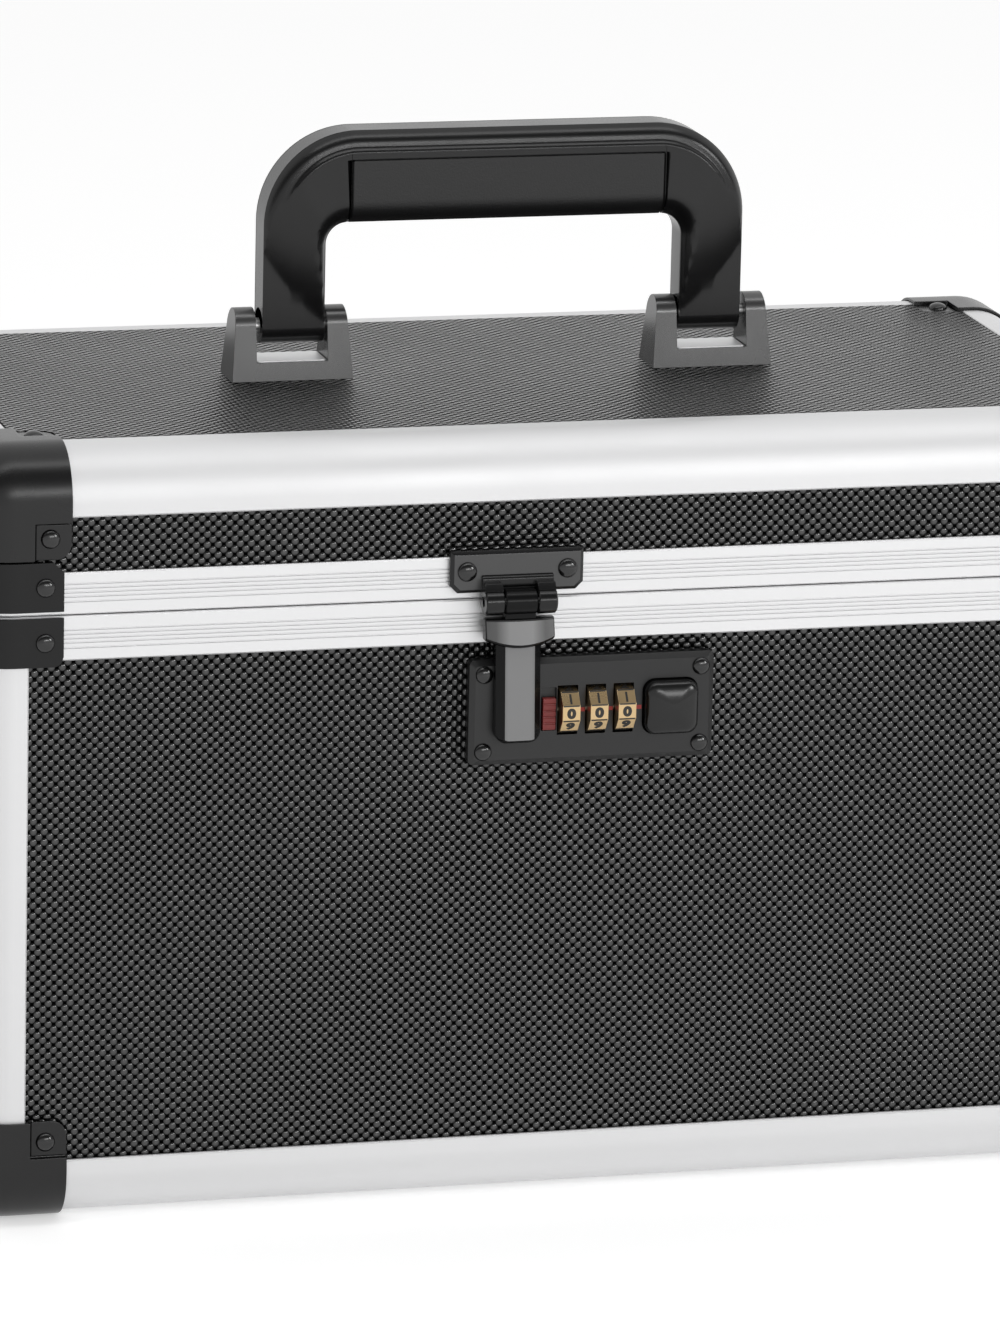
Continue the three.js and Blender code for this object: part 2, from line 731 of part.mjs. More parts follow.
function haspArm() {
  const knuckle = [-haspKnuckleWidth / 2, haspKnuckleWidth / 2];
  const front = -hardwareStand;
  const back = -lockPlateProud - running;
  const headTop = -haspHeadDrop;
  const headLow = headTop - haspHeadHeight;
  const armHalf = haspArmWidth / 2;
  const headHalf = haspHeadWidth / 2;
  const toe = haspArmWidth / 4;
  const headShare = 0.55;
  const head = [
    [-headHalf, headTop], [-headHalf, headTop - haspHeadHeight * headShare],
    [-(headHalf + armHalf) / 2, headLow + haspHeadHeight * (1 - headShare) * headShare * headShare],
    [-armHalf, headLow], [armHalf, headLow],
    [(headHalf + armHalf) / 2, headLow + haspHeadHeight * (1 - headShare) * headShare * headShare],
    [headHalf, headTop - haspHeadHeight * headShare], [headHalf, headTop],
  ];
  const tongue = [
    [-armHalf, headLow + seat], [armHalf, headLow + seat],
    ...arcPoints([armHalf - toe, toe - haspArmFall], toe, 1, 0.75, roundingSteps),
    ...arcPoints([toe - armHalf, toe - haspArmFall], toe, 0.75, 0.5, roundingSteps),
  ];
  const slope = (armHalf - haspArmCrest / 2);
  const armSection = [
    [-armHalf, back], [-armHalf, back - slope], [-haspArmCrest / 2, back - haspArmRise],
    [haspArmCrest / 2, back - haspArmRise], [armHalf, back - slope], [armHalf, back],
  ];
  const arm = prism('y', tongue, front, back).intersect(prism('z', armSection, -haspArmFall, headTop));
  const neck = box(knuckle, [haspAxisY - haspNeckThickness / 2, haspAxisY + haspNeckThickness / 2],
    [headTop - seat, 0]);
  const stapleZ = [-stapleDrop - stapleHeight, -stapleDrop];
  const staple = box(about(0, stapleWidth), [back - seat, stapleDepth - lockPlateProud], stapleZ);
  const hole = bore('x', [haspAxisY, 0], haspPinRadius, -armHalf, armHalf);
  const barrel = cylinder('x', [haspAxisY, 0], haspBarrelRadius, ...knuckle);
  const headBody = prism('y', head, front, -running * 2);
  return join([join([barrel, neck]).subtract(hole), headBody, arm, staple]);
}

function addHasp() {
  const place = group(caseFrame, haspX, -halfDepth, seamHeight + seamGap / 2);
  addPiece(place, 'hasp_plate', haspPlate(), blackMetal);
  addPiece(place, 'hasp_arm', haspArm(), blackMetal);
  const half = haspBarrelWidth / 2;
  addPiece(place, 'hasp_pin', cylinder('x', [haspAxisY, 0], haspPinRadius, -half, half, domeSides), steel);
}

addHasp();

// The lock, seen from the middle of its plate: x along the wheels, y into the case from its front face
const wheelAxisY = wheelRadius - lockPlateProud - wheelProud;
const housingBack = liningInner - seat;
const wheelPlaces = [0, 1, 2].map((index) => firstWheelX + index * wheelPitch);
const wheelBayHalf = wheelWidth / 2 + running;
const buttonBack = buttonLength - lockPlateProud - buttonProud;
const recessFloor = buttonBack + buttonTravel + running + springLength + running;
const boltY = [boltFrontWall + running - lockPlateProud, boltFrontWall + running + boltThickness - lockPlateProud];
const boltZ = [boltLift, boltLift + boltHeight];
const tailFront = recessFloor + recessWall + running;
const stapleX = haspX - lockX;
const boltNose = stapleX + stapleWidth / 2 + running;

function bevelledPlate(centre, width, height, radius, bevel, back, front) {
  const points = roundedRectangle(centre, width, height, radius, roundingSteps);
  const geometry = new THREE.ExtrudeGeometry(sectionShape(points, true), {
    depth: back - front,
    bevelEnabled: true,
    bevelSegments: 1,
    bevelSize: bevel,
    bevelThickness: bevel,
    bevelOffset: -bevel,
  });
  geometry.translate(0, 0, front + bevel);
  geometry.applyMatrix4(axisFrame('y'));
  const room = box(about(centre[0], width + overrun), [front, back], about(centre[1], height + overrun));
  return solidOf(geometry).intersect(room);
}

function lockBody() {
  const plateRadius = lockPlateBevel + seat;
  const plate = bevelledPlate(
    [0, 0], lockPlateWidth, lockPlateHeight, plateRadius, lockPlateBevel, lipThickness, -lockPlateProud,
  );
  const housing = box([-housingLeft, housingRight], [0, housingBack], about(0, housingHeight));
  const front = -lockPlateProud - overrun;
  const bays = wheelPlaces.map((x) => (
    cylinder('x', [wheelAxisY, 0], wheelRadius + running + seat / 2, x - wheelBayHalf, x + wheelBayHalf,
      barrelSides + domeSides)
  ));
  const axleReach = wheelWidth / 2 + axleEnd + running;
  const axleHole = bore('x', [wheelAxisY, 0], wheelAxleRadius,
    wheelPlaces[0] - axleReach, wheelPlaces[2] + axleReach);
  const opening = buttonWidth + 2 * running;
  const recess = prism('y', roundedRectangle([buttonX, 0], opening, opening, buttonRadius, roundingSteps),
    front, recessFloor);
  const stapleTop = lockPlateHeight / 2 + overrun;
  const stapleLow = seamHeight + seamGap / 2 - lockHeight - stapleDrop - stapleHeight;
  const pocket = box(
    about(stapleX, stapleWidth + 4 * running),
    [front, stapleDepth + running - lockPlateProud],
    [stapleLow - 4 * running, stapleTop],
  );
  const boltRoomZ = [boltZ[0] - running, boltZ[1] + running];
  const tailEnd = buttonX + boltTailWidth / 2 + buttonTravel + running;
  const channel = box([stapleX, tailEnd], [boltY[0] - running, boltY[1] + running], boltRoomZ);
  const tailStart = buttonX - boltTailWidth / 2 - running;
  const shaft = box([tailStart, tailEnd], [boltY[0] - running, housingBack + overrun], boltRoomZ);
  const tailRoom = box([tailStart, tailEnd], [tailFront - running, housingBack + overrun],
    [boltZ[0] - boltTailDrop - running, boltRoomZ[1]]);
  const sliderZ = [-sliderDrop - sliderHeight / 2, sliderHeight / 2 - sliderDrop];
  const slot = box(
    about(sliderX, sliderWidth + 2 * running),
    [front, sliderDepth + running - lockPlateProud],
    [sliderZ[0] - running, sliderZ[1] + sliderTravel + running],
  );
  const body = cut(join([plate, housing]), [...bays, axleHole, recess, pocket, channel, shaft, tailRoom, slot]);
  const rivets = [-1, 1].flatMap((sx) => [-1, 1].map((sz) => rivet([0, -1, 0], [
    sx * (lockPlateWidth / 2 - lockRivetInset), -lockPlateProud, sz * (lockPlateHeight / 2 - lockRivetInset),
  ], lockRivetRadius)));
  return join([body, ...rivets]);
}

function catchBolt() {
  const tail = about(buttonX, boltTailWidth);
  const strip = box([boltNose, tail[1]], boltY, boltZ);
  const bridge = box(tail, [boltY[0], tailFront + boltTailThickness], boltZ);
  const blade = box(tail, [tailFront, tailFront + boltTailThickness], [boltZ[0] - boltTailDrop, boltZ[1]]);
  return join([strip, bridge, blade]);
}

function releaseButton() {
  const base = prism('y', roundedRectangle([0, 0], buttonWidth, buttonWidth, buttonRadius, roundingSteps),
    buttonBack - buttonLength + 2 * buttonBevel, buttonBack);
  const faceRadius = buttonRadius - (buttonWidth - buttonFace) / 4;
  const face = bevelledPlate([0, 0], buttonWidth, buttonWidth, buttonRadius, buttonBevel,
    buttonBack, buttonBack - buttonLength + buttonBevel);
  const crown = bevelledPlate([0, 0], buttonFace, buttonFace, faceRadius, buttonBevel / 2,
    buttonBack, buttonBack - buttonLength);
  return join([base, face, crown]);
}

function digitWheel() {
  const points = [];
  for (let i = 0; i < wheelDigits; i += 1) {
    const angle = ((i + 0.5) / wheelDigits) * Math.PI * 2;
    points.push([wheelRadius * Math.sin(angle), wheelRadius * Math.cos(angle)]);
  }
  const body = prism('x', points, -wheelWidth / 2, wheelWidth / 2);
  return body.subtract(bore('x', [0, 0], wheelAxleRadius, -wheelWidth, wheelWidth));
}

function addLock() {
  const place = group(caseFrame, lockX, -halfDepth, lockHeight);
  addPiece(place, 'lock_body', lockBody(), blackMetal);
  addPiece(place, 'catch_bolt', catchBolt(), steel);
  const cover = box(
    [-housingLeft - coverMargin, housingRight + coverMargin],
    [liningInner + seat, liningInner + seat + coverThickness],
    about(0, housingHeight + 2 * coverMargin),
  );
  addPiece(place, 'lock_back_cover', cover, blackMetal);
  wheelPlaces.forEach((x, index) => {
    const wheelPlace = group(place, x, wheelAxisY, 0);
    const facetTurn = Math.PI / wheelDigits;
    const wheel = addPiece(wheelPlace, `digit_wheel_${index + 1}`, digitWheel(), brass);
    wheel.rotation.x = facetTurn + Math.PI / 2;
  });
  const axleReach = wheelWidth / 2 + axleEnd;
  const axle = cylinder('x', [wheelAxisY, 0], wheelAxleRadius,
    wheelPlaces[0] - axleReach, wheelPlaces[2] + axleReach, domeSides);
  addPiece(place, 'wheel_axle', axle, steel);
  const buttonPlace = group(place, buttonX, 0, 0);
  addPiece(buttonPlace, 'release_button', releaseButton(), blackPlastic);
  const springEnd = recessFloor - running;
  const spring = cylinder('y', [0, 0], springRadius, springEnd - springLength, springEnd)
    .subtract(cylinder('y', [0, 0], springRadius - springWall, -housingBack, springEnd + overrun));
  addPiece(buttonPlace, 'button_spring', spring, steel);
  const slider = box(
    about(0, sliderWidth),
    [-lockPlateProud - sliderProud, sliderDepth - lockPlateProud],
    about(-sliderDrop, sliderHeight),
  );
  addPiece(group(place, sliderX, 0, 0), 'code_slider', slider, redPlastic);
}

addLock();

// The handle, seen from the middle of its pivots: x along the grip, z up
function handleOutline() {
  const outer = footSpacing / 2 + legWidth / 2;
  const inner = footSpacing / 2 - legWidth / 2;
  return [
    [-outer, 0],
    ...arcPoints([handleOuterRadius - outer, handleRise - handleOuterRadius], handleOuterRadius, 0.5, 0.25, arcSteps),
    ...arcPoints([outer - handleOuterRadius, handleRise - handleOuterRadius], handleOuterRadius, 0.25, 0, arcSteps),
    [outer, 0],
    [inner, 0],
    ...arcPoints([inner - handleInnerRadius, fingerRise - handleInnerRadius], handleInnerRadius, 0, 0.25, roundingSteps),
    ...arcPoints([handleInnerRadius - inner, fingerRise - handleInnerRadius], handleInnerRadius, 0.25, 0.5, roundingSteps),
    [-inner, 0],
  ];
}

function roundedHandle(thickness, rounding, steps) {
  const geometry = new THREE.ExtrudeGeometry(sectionShape(handleOutline(), true), {
    depth: thickness - 2 * rounding,
    bevelEnabled: true,
    bevelSegments: steps,
    bevelSize: rounding,
    bevelThickness: rounding,
    bevelOffset: -rounding,
  });
  geometry.translate(0, 0, rounding - thickness / 2);
  geometry.applyMatrix4(axisFrame('y'));
  return solidOf(geometry);
}

function gripRoom(margin) {
  const low = fingerRise - overrun;
  const high = fingerRise + gripHeight + margin;
  const room = box(about(0, gripLength + 2 * margin), about(0, handleThickness + overrun), [low, high]);
  const core = box(
    about(0, gripLength + overrun),
    about(0, handleThickness - 2 * (gripWall + margin)),
    [fingerRise + gripWall + margin, high + overrun],
  );
  return room.subtract(core);
}

function addHandle() {
  const place = group(caseFrame, handleX, 0, caseHeight + seat + pivotHeight);
  const swell = new THREE.SphereGeometry(swellRadius, barrelSides * 2, barrelSides);
  swell.rotateX(Math.PI / 2);
  swell.scale(1, swellHalf / swellRadius, 1);
  swell.translate(0, 0, swellCentre);
  const thick = roundedHandle(handleThickness, handleRounding, roundingSteps).intersect(solidOf(swell));
  const thin = roundedHandle(legThickness, legBevel, 1);
  const legs = [-1, 1].map((sign) => {
    const range = about((sign * footSpacing) / 2, legWidth - 2 * legBevel);
    return cylinder('x', [0, 0], legThickness / 2, ...range);
  });
  const holes = bore('x', [0, 0], handlePinRadius, -halfWidth, halfWidth);
  const body = join([thin, thick, ...legs]).subtract(holes);
  addPiece(place, 'handle_frame', body.subtract(gripRoom(seat)), blackPlastic);
  addPiece(place, 'handle_grip', join([thin, thick]).intersect(gripRoom(0)), gripRubber);
  for (const [side, sign] of sides) {
    const footPlace = group(place, (sign * footSpacing) / 2, 0, 0);
    addPiece(footPlace, `handle_foot_${side}`, handleFoot(), blackPlastic);
  }
}

function handleFoot() {
  const profile = [
    [-footDepth / 2, -pivotHeight],
    [footDepth / 2, -pivotHeight],
    ...arcPoints([0, 0], knuckleRadius, 0, 0.5, arcSteps + roundingSteps),
  ];
  const face = [
    [-footWidth / 2, -pivotHeight], [footWidth / 2, -pivotHeight],
    [footTopWidth / 2, knuckleRadius], [-footTopWidth / 2, knuckleRadius],
  ];
  const body = prism('x', profile, -footWidth / 2, footWidth / 2)
    .intersect(prism('y', face, -footDepth / 2, footDepth / 2));
  const notch = box(about(0, notchWidth), about(0, footDepth + overrun),
    [notchFloor - pivotHeight, knuckleRadius + overrun]);
  const pinHalf = footTopWidth / 2 - seat;
  return body.subtract(notch).add(cylinder('x', [0, 0], handlePinRadius, -pinHalf, pinHalf, domeSides));
}

addHandle();

export default part;
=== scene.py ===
# %% [markdown]
# # A lockable medicine case
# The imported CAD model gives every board, rail and lock part its place. This lesson keeps those places
# and makes the surfaces: finer rounds where the CAD has facets, small details that a CAD solid leaves
# out, and procedural materials. Lengths are written in millimetres and scaled to metres once.

# %% Load the model as a fixed frame
import math
from functools import partial

import bmesh
import bpy
from mathutils import Matrix, Vector


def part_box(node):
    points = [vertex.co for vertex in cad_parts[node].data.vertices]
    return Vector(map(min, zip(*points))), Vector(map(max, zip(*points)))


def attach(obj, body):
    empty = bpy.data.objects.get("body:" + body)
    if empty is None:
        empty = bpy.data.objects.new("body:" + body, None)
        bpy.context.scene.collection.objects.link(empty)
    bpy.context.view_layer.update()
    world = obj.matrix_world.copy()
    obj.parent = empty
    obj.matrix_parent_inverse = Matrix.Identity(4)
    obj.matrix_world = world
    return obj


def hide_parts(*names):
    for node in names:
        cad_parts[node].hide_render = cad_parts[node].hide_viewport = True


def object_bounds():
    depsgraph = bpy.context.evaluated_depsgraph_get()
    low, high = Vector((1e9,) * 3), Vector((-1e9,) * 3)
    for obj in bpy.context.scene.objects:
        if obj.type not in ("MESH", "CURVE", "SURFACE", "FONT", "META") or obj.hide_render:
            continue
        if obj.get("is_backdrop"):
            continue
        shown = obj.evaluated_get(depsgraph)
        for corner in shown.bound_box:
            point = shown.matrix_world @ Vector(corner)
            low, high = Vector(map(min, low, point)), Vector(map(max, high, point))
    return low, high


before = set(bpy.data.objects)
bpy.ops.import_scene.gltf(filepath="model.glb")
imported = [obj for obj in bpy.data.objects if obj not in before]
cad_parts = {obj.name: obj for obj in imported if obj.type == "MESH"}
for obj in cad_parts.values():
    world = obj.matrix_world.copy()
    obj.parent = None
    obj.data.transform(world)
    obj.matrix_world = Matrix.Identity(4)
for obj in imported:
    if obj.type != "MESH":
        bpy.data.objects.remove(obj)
cad_low, cad_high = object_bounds()
scene = bpy.context.scene
MM = 0.001
print("case, mm:", [round(v / MM, 1) for v in cad_high - cad_low])


# %% [markdown]
# ## Camera
# A long lens from a little left of and above the front gives the photograph's mild perspective. Its
# place and its three angles are written down, and a matrix turns them into the camera's axes, which is
# easier to trust than three chained rotations.

# %% Camera
CAMERA_PLACE = Vector((-582.7, -2146.8, 687.9)) * MM
CAMERA_YAW = math.radians(15.20)
CAMERA_PITCH = math.radians(14.11)
CAMERA_ROLL = math.radians(-1.30)
CAMERA_LENS = 221.7
SENSOR = 36.0
FAR = 20

forward = Vector((
    math.sin(CAMERA_YAW) * math.cos(CAMERA_PITCH),
    math.cos(CAMERA_YAW) * math.cos(CAMERA_PITCH),
    -math.sin(CAMERA_PITCH),
))
level_right = Vector((math.cos(CAMERA_YAW), -math.sin(CAMERA_YAW), 0))
level_up = level_right.cross(forward)
right = level_right * math.cos(CAMERA_ROLL) - level_up * math.sin(CAMERA_ROLL)
up = level_right * math.sin(CAMERA_ROLL) + level_up * math.cos(CAMERA_ROLL)
camera = bpy.data.objects.new("camera", bpy.data.cameras.new("camera"))
camera.data.lens = CAMERA_LENS
camera.data.sensor_width = SENSOR
camera.data.clip_end = FAR
axes = Matrix((right, up, -forward)).transposed().to_4x4()
camera.matrix_world = Matrix.Translation(CAMERA_PLACE) @ axes
scene.collection.objects.link(camera)
scene.camera = camera
print("camera looks along", [round(v, 3) for v in forward])


# %% [markdown]
# ## Studio
# A product table is a white floor under soft lamps. The camera, the mirroring surfaces and anything seen
# through all get the same room: white at a level of 1 behind the case, overhead and along the horizon,
# with one dark gap high in front, which draws the soft bands along the rounded black edges. Only the
# diffuse light is set apart, at a plain level, so the white background adds no light to the case.

# %% World
def node(tree, kind, inputs=None, **settings):
    """A new node. Each entry of inputs is a value for that socket, or another node's socket to link."""
    made = tree.nodes.new(kind)
    for key, value in settings.items():
        setattr(made, key, value)
    for key, value in (inputs or {}).items():
        if isinstance(value, bpy.types.NodeSocket):
            tree.links.new(value, made.inputs[key])
        else:
            made.inputs[key].default_value = value
    return made


def math_node(tree, operation, *values):
    return node(tree, "ShaderNodeMath", dict(enumerate(values)), operation=operation).outputs[0]


def mix(tree, kind, factor, first, second):
    inputs = {"Factor": factor, "A": first, "B": second}
    return node(tree, "ShaderNodeMix", inputs, data_type=kind).outputs["Result"]


def grey(level):
    return level, level, level, 1


def ramp(tree, stops, factor):
    made = node(tree, "ShaderNodeValToRGB", {"Fac": factor})
    while len(made.color_ramp.elements) < len(stops):
        made.color_ramp.elements.new(0.5)
    for element, (place, level) in zip(made.color_ramp.elements, stops):
        element.position = place
        element.color = grey(level)
    return made.outputs["Color"]


def background_rays(tree):
    """A mask of the rays that see the background: camera, mirror and transmission rays."""
    rays = node(tree, "ShaderNodeLightPath").outputs
    direct = math_node(tree, "MAXIMUM", rays["Is Camera Ray"], rays["Is Transmission Ray"])
    return math_node(tree, "MAXIMUM", direct, rays["Is Glossy Ray"])


# Places run from the front horizon (0) over the zenith (0.5) to the back horizon (1), and 1 is white
STUDIO_LEVELS = ((0.0, 1.0), (0.13, 0.9), (0.2, 0.2), (0.34, 0.16), (0.42, 0.95), (0.5, 1.0), (1.0, 1.0))
AMBIENT_LEVEL = 0.6

world = bpy.data.worlds.new("studio")
world.use_nodes = True
scene.world = world
sky = world.node_tree
sky.nodes.clear()
direction = node(sky, "ShaderNodeTexCoord").outputs["Generated"]
parts = node(sky, "ShaderNodeSeparateXYZ", {0: direction}).outputs
toward_front = math_node(sky, "MULTIPLY", parts["Y"], -1.0)
share = math_node(sky, "DIVIDE", math_node(sky, "ARCTAN2", parts["Z"], toward_front), math.pi)
shade = mix(sky, "RGBA", background_rays(sky), grey(AMBIENT_LEVEL), ramp(sky, STUDIO_LEVELS, share))
background = node(sky, "ShaderNodeBackground", {"Color": shade})
node(sky, "ShaderNodeOutputWorld", {"Surface": background.outputs[0]})
scene.view_settings.view_transform = "Standard"
print("world stops:", len(STUDIO_LEVELS))


# %% [markdown]
# ## Lamps
# Long soft lamps draw long soft highlights, which is what makes an extrusion look drawn and a black
# casting look cast. Points of light would leave hard sparks, so three area lamps stand for the softboxes:
# a strip high in front, a key from the right and a faint one overhead.

# %% Lamps
CASE_MIDDLE = (cad_low + cad_high) / 2
# Place, width and height in metres, then power in watts
LAMPS = {
    "front_strip": ((0.50, -2.50, 0.92), 1.7, 0.26, 11.5),
    "right_key": ((1.75, -1.65, 1.05), 0.62, 0.58, 13),
    "overhead": ((0.1, -0.45, 1.7), 1.8, 0.3, 4.5),
}
for name, (place, width, height, power) in LAMPS.items():
    lamp = bpy.data.lights.new(name, "AREA")
    lamp.shape = "RECTANGLE"
    lamp.size = width
    lamp.size_y = height
    lamp.energy = power
    softbox = bpy.data.objects.new(name, lamp)
    softbox.location = place
    softbox.rotation_euler = (CASE_MIDDLE - Vector(place)).to_track_quat("-Z", "Y").to_euler()
    scene.collection.objects.link(softbox)
print("lamps:", list(LAMPS))


# %% [markdown]
# ## Floor
# The case stands on white card that runs out of sight. A lit white plane alone turns grey away from the
# lamps, so the rays that see the background also get a glow.

# %% Floor
FLOOR_REACH = 7.0
FLOOR_WHITE = 0.8
FLOOR_GLOW = 0.44

floor_mesh = bpy.data.meshes.new("floor")
floor_corners = [(FLOOR_REACH * x, FLOOR_REACH * y, 0) for x, y in ((-1, -1), (1, -1), (1, 1), (-1, 1))]
floor_mesh.from_pydata(floor_corners, [], [(0, 1, 2, 3)])
floor = bpy.data.objects.new("floor", floor_mesh)
floor_paint = bpy.data.materials.new("floor_paint")
floor_paint.use_nodes = True
paint = floor_paint.node_tree
paint.nodes.clear()
matt = node(paint, "ShaderNodeBsdfDiffuse", {"Color": grey(FLOOR_WHITE)})
glow_level = math_node(paint, "MULTIPLY", background_rays(paint), FLOOR_GLOW)
glow = node(paint, "ShaderNodeEmission", {"Strength": glow_level})
lit_and_glowing = node(paint, "ShaderNodeAddShader", {0: matt.outputs[0], 1: glow.outputs[0]})
node(paint, "ShaderNodeOutputMaterial", {"Surface": lit_and_glowing.outputs[0]})
floor_mesh.materials.append(floor_paint)
scene.collection.objects.link(floor)
floor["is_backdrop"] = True
print("floor:", 2 * FLOOR_REACH, "m")


# %% [markdown]
# ## Surface effects
# Three effects come back in several finishes, so each is a node group with named inputs: a fine
# moulded grain, the long drawing lines of an extrusion, and the slow cloudiness that handling leaves.
# A fourth group makes the dimples of the boards. The groups put out heights, masks and levels only.

# %% Group helpers
FLOAT = "NodeSocketFloat"
VECTOR = "NodeSocketVector"


def new_group(name, inputs, outputs):
    """A node group, and the sockets that its inputs and outputs have inside it."""
    group = bpy.data.node_groups.new(name, "ShaderNodeTree")
    for label, kind, value in inputs:
        socket = group.interface.new_socket(label, in_out="INPUT", socket_type=kind)
        if value is not None:
            socket.default_value = value
    for label in outputs:
        group.interface.new_socket(label, in_out="OUTPUT", socket_type=FLOAT)
    entry = node(group, "NodeGroupInput", location=(-900, 0))
    print("group:", name)
    return group, entry.outputs, node(group, "NodeGroupOutput", location=(600, 0)).inputs


def noise(tree, vector, scale, detail=2.0):
    inputs = {"Vector": vector, "Scale": scale, "Detail": detail}
    return node(tree, "ShaderNodeTexNoise", inputs).outputs["Fac"]


# %% Moulded grain and cloudiness
CLOUD_DETAIL = 4.0
CLOUD_SWING = 0.15

grain_group, grain_in, grain_out = new_group(
    "Moulded grain", [("Place", VECTOR, None), ("Grains per metre", FLOAT, 2500.0)], ["Height"],
)
grains = noise(grain_group, grain_in["Place"], grain_in["Grains per metre"])
grain_group.links.new(grains, grain_out["Height"])

cloud_group, cloud_in, cloud_out = new_group(
    "Handling cloud",
    [("Place", VECTOR, None), ("Clouds per metre", FLOAT, 18.0), ("Low", FLOAT, 0.3), ("High", FLOAT, 0.4)],
    ["Level"],
)
cloud = noise(cloud_group, cloud_in["Place"], cloud_in["Clouds per metre"], CLOUD_DETAIL)
cloud_range = node(cloud_group, "ShaderNodeMapRange", {
    "Value": cloud, "From Min": 0.5 - CLOUD_SWING, "From Max": 0.5 + CLOUD_SWING,
    "To Min": cloud_in["Low"], "To Max": cloud_in["High"],
})
cloud_group.links.new(cloud_range.outputs["Result"], cloud_out["Level"])

# %% Drawing lines of an extrusion
LINE_DETAIL = 3.0

drawn_group, drawn_in, drawn_out = new_group(
    "Drawing lines", [("Place", VECTOR, None), ("Squeeze", VECTOR, (20.0, 4000.0, 4000.0))], ["Height"],
)
factors = {0: drawn_in["Place"], 1: drawn_in["Squeeze"]}
squeezed = node(drawn_group, "ShaderNodeVectorMath", factors, operation="MULTIPLY")
drawn_group.links.new(noise(drawn_group, squeezed.outputs[0], 1.0, LINE_DETAIL), drawn_out["Height"])

# %% [markdown]
# ## Dimpled board
# The boards are faced with a black laminate pressed into a lattice of small round bumps. Two square
# lattices, one shifted by half a pitch, make the staggered rows. The group picks the two coordinates
# that lie in the face by looking at its normal, so one material serves the front, the sides and the top.

# %% Dimple lattice
FACING = 0.7
FOOT_BLUR = 0.22 * MM


def lattice_distance(tree, place, pitches, shift):
    """Distance to the nearest point of a lattice that is shifted by a share of its pitch."""
    squares = []
    for coordinate, pitch in zip(place, pitches):
        cells = math_node(tree, "ADD", math_node(tree, "DIVIDE", coordinate, pitch), shift)
        centred = math_node(tree, "SUBTRACT", math_node(tree, "FRACT", cells), 0.5)
        squares.append(math_node(tree, "POWER", math_node(tree, "MULTIPLY", centred, pitch), 2.0))
    return math_node(tree, "SQRT", math_node(tree, "ADD", *squares))


dimple_group, dimple_in, dimple_out = new_group(
    "Dimple lattice",
    [("Place", VECTOR, None), ("Face", VECTOR, None), ("Pitch across", FLOAT, 3.0 * MM),
     ("Pitch along", FLOAT, 2.9 * MM), ("Foot radius", FLOAT, 1.06 * MM)],
    ["Height", "Bump mask"],
)
place = node(dimple_group, "ShaderNodeSeparateXYZ", {0: dimple_in["Place"]}).outputs
facing = node(dimple_group, "ShaderNodeSeparateXYZ", {0: dimple_in["Face"]}).outputs
lattice = partial(math_node, dimple_group)
sideways, level = (lattice("GREATER_THAN", lattice("ABSOLUTE", facing[axis]), FACING) for axis in "XZ")
across = mix(dimple_group, "FLOAT", sideways, place["X"], place["Y"])
along = mix(dimple_group, "FLOAT", level, place["Z"], place["Y"])
pitches = (dimple_in["Pitch across"], dimple_in["Pitch along"])
distances = [lattice_distance(dimple_group, (across, along), pitches, shift) for shift in (0.0, 0.5)]
nearest = lattice("MINIMUM", *distances)

# %% Dimple height and mask
share_out = lattice("DIVIDE", nearest, dimple_in["Foot radius"])
dome = lattice("MAXIMUM", lattice("SUBTRACT", 1.0, lattice("POWER", share_out, 2.0)), 0.0)
dimple_group.links.new(dome, dimple_out["Height"])
inside = lattice("SUBTRACT", dimple_in["Foot radius"], nearest)
edge_share = lattice("DIVIDE", inside, FOOT_BLUR)
bump_mask = lattice("MINIMUM", lattice("MAXIMUM", edge_share, 0.0), 1.0)
dimple_group.links.new(bump_mask, dimple_out["Bump mask"])
print("dimple nodes:", len(dimple_group.nodes))


# %% [markdown]
# ## Finishes
# Every finish is a Principled surface. The even numbers are set on its own sockets; what changes over
# the surface comes from the groups. A bump node turns the heights into a normal.

# %% Finish helper
CLOUDS_PER_METRE = 18.0
CLOUD_SPREAD = 0.03


def finish(name, color, roughness, gloss=0.5, metallic=0.0, relief=None):
    """A Principled material. Gloss is its specular level; relief is a group, a depth in mm and inputs."""
    material = bpy.data.materials.new(name)
    material.use_nodes = True
    tree = material.node_tree
    surface = tree.nodes["Principled BSDF"].inputs
    surface["Base Color"].default_value = (*color, 1)
    surface["Metallic"].default_value = metallic
    surface["Specular IOR Level"].default_value = gloss
    place = node(tree, "ShaderNodeTexCoord").outputs["Object"]
    clouds = node(tree, "ShaderNodeGroup", {
        "Place": place, "Clouds per metre": CLOUDS_PER_METRE,
        "Low": roughness - CLOUD_SPREAD, "High": roughness + CLOUD_SPREAD,
    }, node_tree=cloud_group)
    tree.links.new(clouds.outputs["Level"], surface["Roughness"])
    if relief:
        group, depth, inputs = relief
        heights = node(tree, "ShaderNodeGroup", {"Place": place, **inputs}, node_tree=group)
        raised = node(tree, "ShaderNodeBump", {"Distance": depth * MM, "Height": heights.outputs["Height"]})
        tree.links.new(raised.outputs["Normal"], surface["Normal"])
    return material


def grained(depth, grains=3000.0):
    return grain_group, depth, {"Grains per metre": grains}


def drawn(axis, depth):
    """Drawing lines along one axis: slow noise along it and fast noise across it."""
    return drawn_group, depth, {"Squeeze": [25.0 if name == axis else 5000.0 for name in "xyz"]}


def black(name, level, roughness, gloss, grain=0.0, grains=3000.0):
    """A black that leans to blue by a trace, with a moulded grain where its depth isn't zero."""
    color = (level, level, level + 0.0002)
    return finish(name, color, roughness, gloss, relief=grained(grain, grains) if grain else None)


# %% Finishes of this case
ALUMINIUM = (0.72, 0.72, 0.725)

